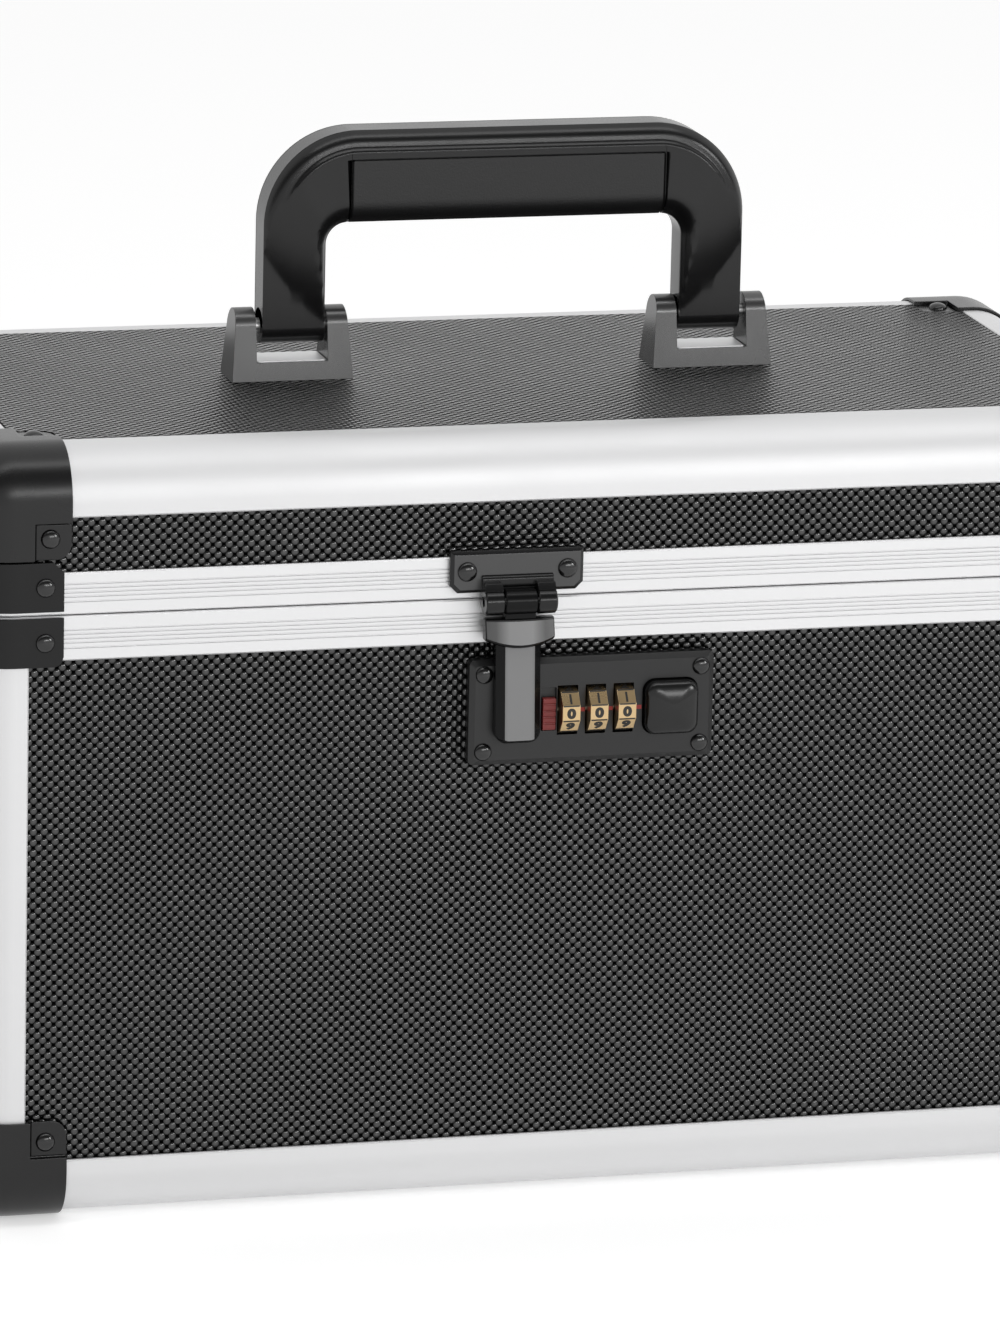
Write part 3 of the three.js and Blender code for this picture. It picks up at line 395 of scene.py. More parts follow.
rail_finish = {
    axis: finish(f"satin_aluminium_{axis}", ALUMINIUM, 0.56, metallic=0.72, relief=drawn(axis, 0.008))
    for axis in "xyz"
}
rim_finish = finish("rim_aluminium", ALUMINIUM, 0.45, metallic=0.8, relief=drawn("x", 0.003))
cap_finish = black("cap_black", 0.004, 0.26, 0.42, 0.02)
bracket_finish = black("bracket_black", 0.004, 0.38, 0.3, 0.015)
foot_finish = black("foot_black", 0.02, 0.26, 1.0, 0.01)
handle_finish = black("handle_black", 0.004, 0.24, 0.4, 0.02)
grip_finish = black("grip_black", 0.005, 0.4, 0.45, 0.06, 1800.0)
plate_finish = black("lock_black", 0.005, 0.38, 0.5, 0.012)
hasp_finish = black("hasp_black", 0.004, 0.22, 0.35)
# Forward faces of the hasp plate take this lighter, glossier copy of the black, a painted sheen
hasp_painted_sheen_finish = black("hasp_painted_sheen", 0.02, 0.3, 0.8, 0.012)
arm_finish = black("arm_black", 0.004, 0.24, 0.15)
# The grey of the arm's forward faces is a painted reflection
arm_painted_reflection_finish = black("arm_painted_reflection", 0.16, 0.4, 0.9, 0.012)
rivet_finish = finish("rivet_black", (0.003,) * 3, 0.19, 0.62)
gloss_finish = finish("gloss_black", (0.006,) * 3, 0.2, 0.4)
brass_finish = finish("wheel_brass", (0.58, 0.42, 0.23), 0.3, metallic=1.0, relief=drawn("x", 0.01))
ink_finish = finish("digit_ink", (0.01, 0.008, 0.006), 0.5)
index_finish = finish("index_red", (0.32, 0.02, 0.018), 0.4)
red_finish = finish("slider_red", (0.18, 0.015, 0.013), 0.42)
steel_finish = finish("plain_steel", (0.6,) * 3, 0.3, metallic=1.0)
felt_finish = finish("lining_felt", (0.045, 0.045, 0.048), 0.95, relief=grained(0.3, 900.0))
print("finishes:", len(bpy.data.materials))

# %% [markdown]
# ## Board finish
# The laminate is glossy on the crowns of its dimples and dull between them, and the gaps between them
# carry painted shade. Modelling tens of thousands of dimples would make a heavy mesh, and an image would
# blur up close. The lattice group gives one height, which feeds the bump, the colour, the roughness and
# the metallic share; the darker colour and the metallic share between the dimples are painted shade.

# %% Board finish
# The colour between the dimples is painted shade, darker than the crowns
BOARD_PAINTED_SHADE = 0.001
BOARD_CROWN = 0.012
GAP_ROUGHNESS = 0.8
DIMPLE_DEPTH = 0.38 * MM
SHADE_POWER = 0.6

board_finish = finish("dimpled_board", (BOARD_PAINTED_SHADE,) * 3, 0.15, 1.0)
board_tree = board_finish.node_tree
board_surface = board_tree.nodes["Principled BSDF"].inputs
dimples = node(board_tree, "ShaderNodeGroup", {
    "Place": node(board_tree, "ShaderNodeTexCoord").outputs["Object"],
    "Face": node(board_tree, "ShaderNodeNewGeometry").outputs["True Normal"],
}, node_tree=dimple_group).outputs
raised = node(board_tree, "ShaderNodeBump", {"Distance": DIMPLE_DEPTH, "Height": dimples["Height"]})
crown_gloss = board_surface["Roughness"].links[0].from_socket

# Painted shade between the dimples: the metallic share rises toward the gaps, and near-black metal
# there gives back no gloss, while the crowns keep the gloss of the plastic
crown_unshaded_share = math_node(board_tree, "POWER", dimples["Height"], SHADE_POWER)
board_looks = {
    "Normal": raised.outputs["Normal"],
    "Base Color": mix(board_tree, "RGBA", dimples["Height"], grey(BOARD_PAINTED_SHADE), grey(BOARD_CROWN)),
    "Roughness": mix(board_tree, "FLOAT", dimples["Bump mask"], GAP_ROUGHNESS, crown_gloss),
    "Metallic": math_node(board_tree, "SUBTRACT", 1.0, crown_unshaded_share),
}
for label, socket in board_looks.items():
    board_tree.links.new(socket, board_surface[label])
print("board finish feeds:", list(board_looks))


# %% [markdown]
# ## Mesh helpers
# Most of the case is sheet and extrusion, so the shapes are outlines pushed along an axis, rings lofted
# one to the next, or profiles turned round a centre. A small bevel on every edge catches the light as
# the real edges do.

# %% Outlines, prisms and lathes
AXES = {"x": (1, 2, 0), "y": (0, 2, 1), "z": (0, 1, 2)}
ARC_STEPS = 14
LEAST_TURNED = 0.001


def point(axis, a, b, c):
    made = Vector((0, 0, 0))
    for place, value in zip(AXES[axis], (a, b, c)):
        made[place] = value * MM
    return made


def arc(centre, radius, start, end, steps=ARC_STEPS):
    angles = [math.radians(start + (end - start) * i / steps) for i in range(steps + 1)]
    return [(centre[0] + radius * math.cos(a), centre[1] + radius * math.sin(a)) for a in angles]


def rounded_box(centre, width, height, radius, steps=6):
    x, y = width / 2 - radius, height / 2 - radius
    corners = ((x, y, 0), (-x, y, 90), (-x, -y, 180), (x, -y, 270))
    return [
        p for dx, dy, turn in corners
        for p in arc((centre[0] + dx, centre[1] + dy), radius, turn, turn + 90, steps)
    ]


def loft(bm, rings, looped=False, capped=True):
    loops = [[bm.verts.new(p) for p in ring] for ring in rings]
    pairs = list(zip(loops, loops[1:])) + ([(loops[-1], loops[0])] if looped else [])
    for low, high in pairs:
        for i in range(len(low)):
            j = (i + 1) % len(low)
            bm.faces.new((low[i], low[j], high[j], high[i]))
    if capped and not looped:
        bm.faces.new(list(reversed(loops[0])))
        bm.faces.new(loops[-1])
    return bm


def prism(bm, outline, axis, low, high):
    return loft(bm, [[point(axis, a, b, c) for a, b in outline] for c in (low, high)])


def lathe(bm, profile, axis, centre, sides=28, along=1):
    angles = [2 * math.pi * i / sides for i in range(sides)]
    rings = []
    for radius, height in profile:
        radius = max(radius, LEAST_TURNED)
        ring = [(centre[0] + radius * math.cos(t), centre[1] + radius * math.sin(t)) for t in angles]
        rings.append([point(axis, a, b, centre[2] + along * height) for a, b in ring])
    return loft(bm, rings)


# %% Bevels and pieces
def soften(bm, width, segments=2, least=40):
    bmesh.ops.recalc_face_normals(bm, faces=bm.faces)
    edges = [e for e in bm.edges if e.is_manifold and e.calc_face_angle(0) > math.radians(least)]
    shape = dict(offset=width * MM, segments=segments, profile=0.5, affect="EDGES", clamp_overlap=True)
    bmesh.ops.bevel(bm, geom=edges, **shape)
    return bm


def solid(shape, *args, **kwargs):
    return shape(bmesh.new(), *args, **kwargs)


def merged(*solids):
    whole = bmesh.new()
    for bm in solids:
        mesh = bpy.data.meshes.new("part")
        bm.to_mesh(mesh)
        whole.from_mesh(mesh)
        bpy.data.meshes.remove(mesh)
        bm.free()
    return whole


def carved(stock, tool, operation="DIFFERENCE"):
    objects = []
    for bm in (stock, tool):
        bmesh.ops.recalc_face_normals(bm, faces=bm.faces)
        mesh = bpy.data.meshes.new("stock")
        bm.to_mesh(mesh)
        bm.free()
        made = bpy.data.objects.new("stock", mesh)
        scene.collection.objects.link(made)
        objects.append(made)
    cut = objects[0].modifiers.new("cut", "BOOLEAN")
    cut.operation = operation
    cut.solver = "EXACT"
    cut.object = objects[1]
    result = bmesh.new()
    result.from_object(objects[0], bpy.context.evaluated_depsgraph_get())
    for made in objects:
        bpy.data.meshes.remove(made.data)
    bmesh.ops.dissolve_degenerate(result, dist=0.001 * MM, edges=result.edges)
    return result


def piece(name, bm, body, material, slot, *nodes, smooth=32, others=None):
    """A finished object on one body. Faces with an index take their finish from others."""
    bmesh.ops.recalc_face_normals(bm, faces=bm.faces)
    used = max(face.material_index for face in bm.faces)
    mesh = bpy.data.meshes.new(name)
    bm.to_mesh(mesh)
    bm.free()
    mesh.shade_smooth()
    mesh.set_sharp_from_angle(angle=math.radians(smooth))
    mesh.materials.append(material)
    for other in (others or (rivet_finish,))[:used]:
        mesh.materials.append(other)
    made = bpy.data.objects.new(name, mesh)
    scene.collection.objects.link(made)
    made.modifiers.new("flat_faces", "WEIGHTED_NORMAL").keep_sharp = True
    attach(made, body)
    if nodes:
        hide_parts(*nodes)
    print(name, "on", body, "with", len(mesh.polygons), "faces")


def box_mm(cad_node):
    low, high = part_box(cad_node)
    return low / MM, high / MM


def middle_x(cad_node):
    low, high = box_mm(cad_node)
    return (low.x + high.x) / 2


def repaint(cad_node, material):
    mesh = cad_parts[cad_node].data
    mesh.materials.clear()
    mesh.materials.append(material)


# %% [markdown]
# ## Boards and linings
# The boards are flat, so the CAD meshes stay and only get the dimpled finish. The linings are plain
# trays of felt, which show when the lid is open.

# %% Boards and linings
WALLS = ("front", "back", "left", "right")
boards = ["base_bottom_board", "lid_top_board", "lid_side_band", *(f"base_{wall}_board" for wall in WALLS)]
for cad_node in boards:
    repaint(cad_node, board_finish)
for cad_node in ("base_lining", "lid_lining"):
    repaint(cad_node, felt_finish)
print("boards:", len(boards))


# %% [markdown]
# ## Rails
# Each edge of the case is an aluminium extrusion: a quarter-round with a lip along each board. Swept
# straight, its outline is all that is needed. The corner posts are the same extrusion stood up.

# %% Rails and posts
RAIL_RADIUS = 14.0
RAIL_STEPS = 22
LIP = 1.2
SLOT_FLOOR = 10.0
SLOT_END = 5.7
LIP_ROUND = 0.4

case_low, case_high = box_mm("base_rim")
case_low.z = box_mm("base_rail_front")[0].z
case_high.z = box_mm("lid_rail_front")[1].z


def rail_outline(band):
    edge = band - LIP_ROUND
    return [
        (band, LIP_ROUND), (edge, 0), *arc((RAIL_RADIUS, RAIL_RADIUS), RAIL_RADIUS, 270, 180, RAIL_STEPS),
        (0, edge), (LIP_ROUND, band), (LIP, band), (LIP, SLOT_FLOOR), (SLOT_END, SLOT_FLOOR),
        (SLOT_FLOOR, SLOT_END), (SLOT_FLOOR, LIP), (band, LIP),
    ]


def inward(axis, sign, depth):
    return case_high[axis] - depth if sign > 0 else case_low[axis] + depth


def add_rail(cad_node, body, band, axis, signs):
    first, second, along = AXES[axis]
    outline = [(inward(first, signs[0], u), inward(second, signs[1], v)) for u, v in rail_outline(band)]
    low, high = box_mm(cad_node)
    bm = solid(prism, outline, axis, low[along], high[along])
    piece(f"{cad_node}_smooth", bm, body, rail_finish[axis], "aluminium", cad_node)


SIGNS = {"front": -1, "back": 1, "left": -1, "right": 1}
BASE_BAND = box_mm("base_rail_front")[1].z - case_low.z
LID_BAND = case_high.z - box_mm("lid_rail_front")[0].z
for wall in WALLS:
    run = "x" if wall in ("front", "back") else "y"
    add_rail(f"base_rail_{wall}", "base", BASE_BAND, run, (SIGNS[wall], -1))
    add_rail(f"lid_rail_{wall}", "lid", LID_BAND, run, (SIGNS[wall], 1))
CORNERS = [(end, side) for end in ("front", "back") for side in ("left", "right")]
for end, side in CORNERS:
    add_rail(f"base_post_{end}_{side}", "base", BASE_BAND, "z", (SIGNS[side], SIGNS[end]))
print("rail bands, mm:", round(BASE_BAND, 2), round(LID_BAND, 2))


# %% [markdown]
# ## Rims
# Two bent channels meet at the seam. Five fine grooves run round each of them. A rim is one closed
# section carried round the rounded outline of the case: every point of the section becomes a ring set
# in by its own depth, and the rings are lofted one to the next.

# %% Rims
RIM_DEPTH = 9.65
INNER_LIP = 1.2
INNER_DROP = 9.0
BASE_WEB = 3.0
LID_WEB = 4.2
GROOVE_WIDTH = 0.5
GROOVE_DEPTH = 0.32
# Distances of the grooves from the seam
LID_GROOVES = (3.5, 4.85, 6.0, 7.15, 8.3)
BASE_GROOVES = (3.9, 5.05, 6.2, 7.35, 8.8)
# Near side, far side and height
TONGUE = (4.2, 5.4, 2.0)
GROOVE = (3.6, 6.0, 2.3)
LEAST_RADIUS = 0.4


def case_outline(depth, height):
    size = case_high - case_low
    radius = max(RAIL_RADIUS - depth, LEAST_RADIUS)
    outline = rounded_box((0, 0), size.x - 2 * depth, size.y - 2 * depth, radius, 12)
    return [point("z", a, b, height) for a, b in outline]


def groove_points(places, seam, away):
    made = []
    for place in places:
        centre = seam + away * place
        for step, depth in ((-0.5, 0), (-0.2, GROOVE_DEPTH), (0.2, GROOVE_DEPTH), (0.5, 0)):
            made.append((depth, centre + away * step * GROOVE_WIDTH))
    return made


def rim_section(seam, away, height, web, places, joint):
    far = seam + away * height
    floor_z = seam + away * web
    drop = seam + away * INNER_DROP
    return [
        (LIP_ROUND, seam), (0, seam + away * LIP_ROUND), *groove_points(places, seam, away),
        (0, seam + away * (height - LIP_ROUND)), (LIP_ROUND, far), (LIP, far), (LIP, floor_z),
        (RIM_DEPTH - INNER_LIP, floor_z), (RIM_DEPTH - INNER_LIP, drop), (RIM_DEPTH, drop),
        (RIM_DEPTH, seam), *joint,
    ]


def joint_points(near, far, start, end):
    return [(far, start), (far, end), (near, end), (near, start)]


base_low, base_high = box_mm("base_rim")
lid_low, lid_high = box_mm("lid_rim")
base_seam = base_high.z - TONGUE[2]
tongue = joint_points(*TONGUE[:2], base_seam, base_high.z)
groove = joint_points(*GROOVE[:2], lid_low.z, lid_low.z + GROOVE[2])
sections = {
    "base": rim_section(base_seam, -1, base_seam - base_low.z, BASE_WEB, BASE_GROOVES, tongue),
    "lid": rim_section(lid_low.z, 1, lid_high.z - lid_low.z, LID_WEB, LID_GROOVES, groove),
}
for body, section in sections.items():
    rings = [case_outline(depth, height) for depth, height in section]
    rim = solid(loft, rings, looped=True)
    piece(f"{body}_rim_grooved", rim, body, rim_finish, "aluminium", f"{body}_rim", smooth=20)
print("seam, mm:", round(base_seam, 2), "to", round(lid_low.z, 2))


# %% [markdown]
# ## Rivets
# Black domed rivets hold the caps, brackets, hasp and lock. One lathe profile serves them all.

# %% Rivet heads
RIVET_RADIUS = 2.45
RIVET_HEIGHT = 1.15
RIVET_SINK = 0.3
DOME_ANGLES = range(8, 90, 9)


def rivet(axis, centre, along, radius=RIVET_RADIUS, height=RIVET_HEIGHT):
    angles = [math.radians(t) for t in DOME_ANGLES]
    rise = [(radius * math.cos(a), height * math.sin(a)) for a in angles]
    profile = [(radius, -RIVET_SINK), (radius, 0.02), *rise, (0, height)]
    head = solid(lathe, profile, axis, centre, along=along)
    for face in head.faces:
        face.material_index = 1
    return head


# %% [markdown]
# ## Corner caps
# A cap wraps a corner of the case like half a shell: rounded outside, with a lower riveted tab on each
# face. It is drawn as a grid on the three faces of a cube corner. Each cell has an outer and an inner
# level, walls close the steps between cells, and one mapping rounds everything at once.

# %% Cap form
CAP_PROUD = 1.0
TAB = 10.1
TAB_TOP = 0.2
TAB_GROOVE = 0.5
TAB_CORNER = 4.2
SHOULDER = 1.15
SEAT = 0.25
CAP_STEPS = 9
CORNER_STEPS = 6


def rounded_place(place, level):
    core = Vector([max(v, RAIL_RADIUS) for v in place])
    away = (Vector(place) - core).normalized()
    return (core + away * (RAIL_RADIUS - level)) * MM


def tab_round(s, t, size):
    """Bend the square corner of a tab into a round one."""
    start = size - TAB_CORNER
    if s <= start or t <= start:
        return s, t
    a, b = (s - start) / TAB_CORNER, (t - start) / TAB_CORNER
    s, t = a * math.sqrt(1 - b * b / 2), b * math.sqrt(1 - a * a / 2)
    return start + TAB_CORNER * s, start + TAB_CORNER * t


def cap_levels(face, s, t, band, upright):
    """Outer and inner level of the cap at a place on one of the three faces."""
    tab_start = band + SHOULDER
    if s > tab_start and t > tab_start:
        return (TAB_TOP if min(s, t) > tab_start + TAB_GROOVE else TAB_TOP + TAB_GROOVE), LIP
    first, second = [k for k in range(3) if k != face]
    over_first = t < band + SEAT and s > band and (upright or first != 2)
    over_second = s < band + SEAT and t > band and (upright or second != 2)
    return -CAP_PROUD, (-SEAT if over_first or over_second else LIP)


# %% Cap mesh
CAP_BEVEL = 0.22
CAP_RIVET_RADIUS = 2.65
CAP_RIVET_HEIGHT = 1.6
CAP_RIVET_SHARE = 0.43


def cap_mesh(band, upright):
    tab_start = band + SHOULDER
    size = tab_start + TAB
    bend = size - TAB_CORNER
    stops = [RAIL_RADIUS * i / CAP_STEPS for i in range(CAP_STEPS + 1)]
    stops += [band + SEAT, tab_start, tab_start + TAB_GROOVE, bend]
    stops += [bend + TAB_CORNER * i / CORNER_STEPS for i in range(1, CORNER_STEPS + 1)]
    count = len(stops) - 1
    bm = bmesh.new()

    def levels(face, i, j):
        if i >= count or j >= count:
            return None
        return cap_levels(face, (stops[i] + stops[i + 1]) / 2, (stops[j] + stops[j + 1]) / 2, band, upright)

    def corner(face, i, j, level):
        first, second = [k for k in range(3) if k != face]
        place = [0.0, 0.0, 0.0]
        place[first], place[second] = tab_round(stops[i], stops[j], size)
        return bm.verts.new(rounded_place(place, level))

    def wall(face, ends, high, low):
        (i, j), (k, m) = ends
        quad = [(i, j, high), (k, m, high), (k, m, low), (i, j, low)]
        bm.faces.new([corner(face, a, b, level) for a, b, level in quad])

    def cell(face, i, j):
        top, bottom = levels(face, i, j)
        quad = ((i, j), (i + 1, j), (i + 1, j + 1), (i, j + 1))
        for level in (top, bottom):
            bm.faces.new([corner(face, a, b, level) for a, b in quad])
        for di, dj in ((1, 0), (0, 1)):
            ends = ((i + di, j + dj), (i + 1, j + 1))
            beside = levels(face, i + di, j + dj)
            if beside is None:
                wall(face, ends, top, bottom)
                continue
            for ours, theirs in zip((top, bottom), beside):
                if ours != theirs:
                    wall(face, ends, ours, theirs)

    for face in range(3):
        for i in range(count):
            for j in range(count):
                cell(face, i, j)
    bmesh.ops.remove_doubles(bm, verts=bm.verts, dist=0.002 * MM)
    soften(bm, CAP_BEVEL, least=50)
    middle = tab_start + TAB * CAP_RIVET_SHARE
    centre = (middle, middle, TAB_TOP)
    flat = RIVET_HEIGHT if upright else CAP_RIVET_HEIGHT
    heights = {"x": CAP_RIVET_HEIGHT, "y": CAP_RIVET_HEIGHT, "z": flat}
    heads = [rivet(axis, centre, -1, CAP_RIVET_RADIUS, height) for axis, height in heights.items()]
    return merged(bm, *heads)


# %% Caps on all eight corners
def case_corner(end, side, top):
    signs = (-SIGNS[side], -SIGNS[end], -1 if top else 1)
    return [case_low[k] if signs[k] > 0 else case_high[k] for k in range(3)], signs


def mirrored_piece(name, source, corner, body, material, slot_name, cad_node):
    place, signs = corner
    bm = source.copy()
    for vertex in bm.verts:
        vertex.co = Vector([place[k] * MM + signs[k] * vertex.co[k] for k in range(3)])
    piece(name, bm, body, material, slot_name, cad_node)


caps = {"base": cap_mesh(BASE_BAND, True), "lid": cap_mesh(LID_BAND, False)}
for end, side in CORNERS:
    for body, source in caps.items():
        cad_node = f"{body}_cap_{end}_{side}"
        corner = case_corner(end, side, body == "lid")
        mirrored_piece(f"{cad_node}_round", source, corner, body, cap_finish, "cap_plastic", cad_node)
print("cap faces:", {body: len(source.faces) for body, source in caps.items()})


# %% [markdown]
# ## Brackets at the seam
# Above and below the seam a strip of black sheet is bent round each corner and riveted to the rim. The
# strip is laid out flat in columns and wrapped round the corner; its free corner is cut off above the
# seam and rounded below it.

# %% Bracket mesh
BRACKET_REACH = 26.6
BRACKET_PROUD = 1.15
BRACKET_CUT = 2.8
BRACKET_BEVEL = 0.18
BRACKET_RIVET_SHARE = 0.81
BRACKET_RIVET_SIZE = {"radius": 2.6, "height": 1.5}
TURN_HALF = RAIL_RADIUS * math.pi / 4
BRACKET_LENGTH = TURN_HALF + BRACKET_REACH - RAIL_RADIUS


def wrap(along, height, level):
    """The place of a point of the flat strip after it is bent round the corner."""
    size = abs(along)
    if size <= TURN_HALF:
        angle = math.radians(45) * (1 + size / TURN_HALF)
        u = RAIL_RADIUS + (RAIL_RADIUS - level) * -math.cos(angle)
        v = RAIL_RADIUS + (RAIL_RADIUS - level) * -math.sin(angle)
    else:
        u, v = RAIL_RADIUS + size - TURN_HALF, level
    return Vector((u, v, height) if along > 0 else (v, u, height)) * MM


def bracket_mesh(low, high, above_seam):
    flat = [BRACKET_LENGTH - BRACKET_CUT * (1 - i / 6) for i in range(7)]
    half = [TURN_HALF * i / 8 for i in range(1, 9)] + flat
    rings = []
    for along in [-a for a in reversed(half)] + [0.0] + half:
        into = min(max(0.0, abs(along) - (BRACKET_LENGTH - BRACKET_CUT)), BRACKET_CUT)
        top = high - (into if above_seam else 0)
        bottom = low + (0 if above_seam else BRACKET_CUT - math.sqrt(BRACKET_CUT ** 2 - into ** 2))
        rings.append([
            wrap(along, bottom, -SEAT), wrap(along, top, -SEAT),
            wrap(along, top, -BRACKET_PROUD), wrap(along, bottom, -BRACKET_PROUD),
        ])
    bm = soften(solid(loft, rings), BRACKET_BEVEL, least=50)
    centre = (BRACKET_REACH * BRACKET_RIVET_SHARE, (low + high) / 2, -BRACKET_PROUD)
    return merged(bm, *(rivet(axis, centre, -1, **BRACKET_RIVET_SIZE) for axis in "xy"))


for body in ("base", "lid"):
    low, high = (corner.z - case_low.z for corner in box_mm(f"{body}_bracket_front_left"))
    source = bracket_mesh(low, high, body == "lid")
    for end, side in CORNERS:
        cad_node = f"{body}_bracket_{end}_{side}"
        corner = case_corner(end, side, False)
        mirrored_piece(f"{cad_node}_sheet", source, corner, body, bracket_finish, "black_metal", cad_node)
    print(body, "bracket height, mm:", round(high - low, 2))


# %% [markdown]
# ## Handle
# The handle is a flat bow of plastic that swells to a full grip. At any point its half thickness is
# the larger of two forms: a thin plate for the legs, and a thick bow with rounded edges, thinned by an
# ellipsoid. Drawing it as a height over stations along the bow gives the curved crease on each leg.

# %% Handle form
HANDLE_RISE = 54.6
FINGER_RISE = 29.0
LEG_CENTRE = 59.4
LEG_WIDTH = 17.6
OUTER_CORNER = 26.0
INNER_CORNER = 6.0
LEG_HALF = 5.0
LEG_EDGE = 0.8
GRIP_ROUND = 6.5
GRIP_HALF_THICKNESS = 9.0
SWELL_RADIUS = 88.8
SWELL_CENTRE = 66.0
SWELL_HALF = 13.0
OUTER_X = LEG_CENTRE + LEG_WIDTH / 2
INNER_X = LEG_CENTRE - LEG_WIDTH / 2
STRAIGHT_X = INNER_X - INNER_CORNER
PIVOT_HEIGHT = 14.35
FOOT_Z = box_mm("handle_foot_left")[0].z
PIVOT = Vector((middle_x("handle_frame"), 0, FOOT_Z + PIVOT_HEIGHT))

# Half thickness of the bow against the distance from its outer edge: a low step, then a raised lip
LIP_FRAME = (
    (0.0, 5.0), (0.35, 5.6), (0.9, 6.3), (1.5, 6.9), (2.1, 7.35), (2.6, 7.6), (3.2, 7.78), (4.0, 7.9),
    (4.4, 8.1), (4.8, 8.5), (5.2, 8.85), (5.6, 9.0),
)


def rounded_off(half, radius, edge):
    """Half thickness at a distance from an edge that is rounded by a radius."""
    share = max(0.0, 1 - edge / radius)
    return half - radius * (1 - math.sqrt(1 - share ** 2))


def lip_profile(edge):
    for (near, low), (far, high) in zip(LIP_FRAME, LIP_FRAME[1:]):
        if edge <= far:
            return low + (high - low) * (edge - near) / (far - near)
    return LIP_FRAME[-1][1]


def half_thickness(place, from_inner, from_outer):
    thin = rounded_off(LEG_HALF, LEG_EDGE, from_inner)
    thick = min(rounded_off(GRIP_HALF_THICKNESS, GRIP_ROUND, from_inner), lip_profile(from_outer))
    left = 1 - (place.x ** 2 + (place.y - SWELL_CENTRE) ** 2) / SWELL_RADIUS ** 2
    swell = SWELL_HALF * math.sqrt(left) if left > 0 else 0
    return max(thin, min(thick, swell))


def outer_height(x):
    past = max(0.0, abs(x) - (OUTER_X - OUTER_CORNER))
    return HANDLE_RISE - OUTER_CORNER + math.sqrt(OUTER_CORNER ** 2 - past ** 2)


# %% Stations along the bow
GRIP_HALF = 44.3
GRIP_GAP = 0.4
GRIP_POCKET = GRIP_HALF + GRIP_GAP
LEG_STEPS = 26
TURN_STEPS = 22
GRIP_STATIONS = (GRIP_POCKET + 0.02, GRIP_POCKET, 43.6, 42.0, 38.0, 32.0, 24.0, 16.0, 8.0, 0.0)


def half_bow():
    """Outer and inner points of the right half, from the pivot up and over to the middle."""
    end_angle = math.acos((STRAIGHT_X - OUTER_X + OUTER_CORNER) / OUTER_CORNER)
    stations = []
    for part in (i / LEG_STEPS for i in range(LEG_STEPS)):
        outer = (OUTER_X, (HANDLE_RISE - OUTER_CORNER) * part)
        stations.append((outer, (INNER_X, (FINGER_RISE - INNER_CORNER) * part)))
    for i in range(TURN_STEPS + 1):
        a, b = end_angle * i / TURN_STEPS, math.pi / 2 * i / TURN_STEPS
        outer = (OUTER_X - OUTER_CORNER * (1 - math.cos(a)), HANDLE_RISE - OUTER_CORNER * (1 - math.sin(a)))
        inner = (INNER_X - INNER_CORNER * (1 - math.cos(b)), FINGER_RISE - INNER_CORNER * (1 - math.sin(b)))
        stations.append((outer, inner))
    return stations + [((x, outer_height(x)), (x, FINGER_RISE)) for x in GRIP_STATIONS]


right_half = half_bow()
left_half = [tuple((-x, z) for x, z in pair) for pair in reversed(right_half[:-1])]
BOW = [(Vector(outer), Vector(inner)) for outer, inner in right_half + left_half]
print("bow stations:", len(BOW))

# %% Cross sections of the bow
LINE_DEPTH = 0.45
LINE_WIDTH = 0.5
POCKET_INSET = 7.3
POCKET_DEPTH = 1.2
NEAR_INNER = [0.0, 0.15, 0.4, 0.8, 1.3, 1.9, 2.6, 3.5, 4.5, 5.6, 6.6]
NEAR_OUTER = [edge for edge, half in LIP_FRAME] + [6.3, 6.95, POCKET_INSET - 0.02, POCKET_INSET, 8.2]


def crossing(outer, inner):
    """Points over one station as (place, half thickness), from the inner edge to the outer one."""
    width = (outer - inner).length
    made = []
    for from_inner in NEAR_INNER + [width - d for d in reversed(NEAR_OUTER)]:
        place = inner.lerp(outer, from_inner / width)
        from_outer = width - from_inner
        half = half_thickness(place, from_inner, from_outer)
        if abs(place.x) <= GRIP_POCKET and from_outer >= POCKET_INSET:
            half = half - POCKET_DEPTH
            place = place + Vector((0, max(0.0, POCKET_DEPTH - from_inner)))
        made.append((place, half))
    step = (outer - inner).normalized()
    made.append((outer - step * LINE_DEPTH, LEG_HALF - LINE_WIDTH / 2))
    made.append((outer, LEG_HALF - LINE_WIDTH))
    return made


def ring_of(row):
    front = [Vector((p.x, -h, p.y)) for p, h in row]
    back = [Vector((p.x, h, p.y)) for p, h in reversed(row)]
    return [(v + PIVOT) * MM for v in front + back]


# %% Handle bow
parts = [solid(loft, [ring_of(crossing(outer, inner)) for outer, inner in BOW])]
for middle in (PIVOT.x - LEG_CENTRE, PIVOT.x + LEG_CENTRE):
    leg_end = arc((0, PIVOT.z), LEG_HALF - 0.02, 0, 345, 23)
    parts.append(solid(prism, leg_end, "x", middle - LEG_WIDTH / 2, middle + LEG_WIDTH / 2))
piece("handle_bow", merged(*parts), "handle", handle_finish, "handle_plastic", "handle_frame", smooth=24)

# %% [markdown]
# ## Grip insert
# A duller insert fills the pocket along the inside of the bow. It uses the same half thickness as the bow,
# set back from the pocket's walls by a small gap, so the two surfaces run on without a step.

# %% Grip insert
GRIP_EDGE = 0.3


def grip_row(x, inset):
    outer, inner = Vector((x, outer_height(x))), Vector((x, FINGER_RISE))
    width = (outer - inner).length
    top = width - POCKET_INSET - GRIP_GAP
    row = []
    for d in NEAR_INNER + [9.0, 12.0, top - 2.0, top - GRIP_EDGE, top]:
        place = inner + Vector((0, d))
        half = half_thickness(place, d, width - d)
        row.append((place, half - inset - (GRIP_EDGE if d == top else 0)))
    return row


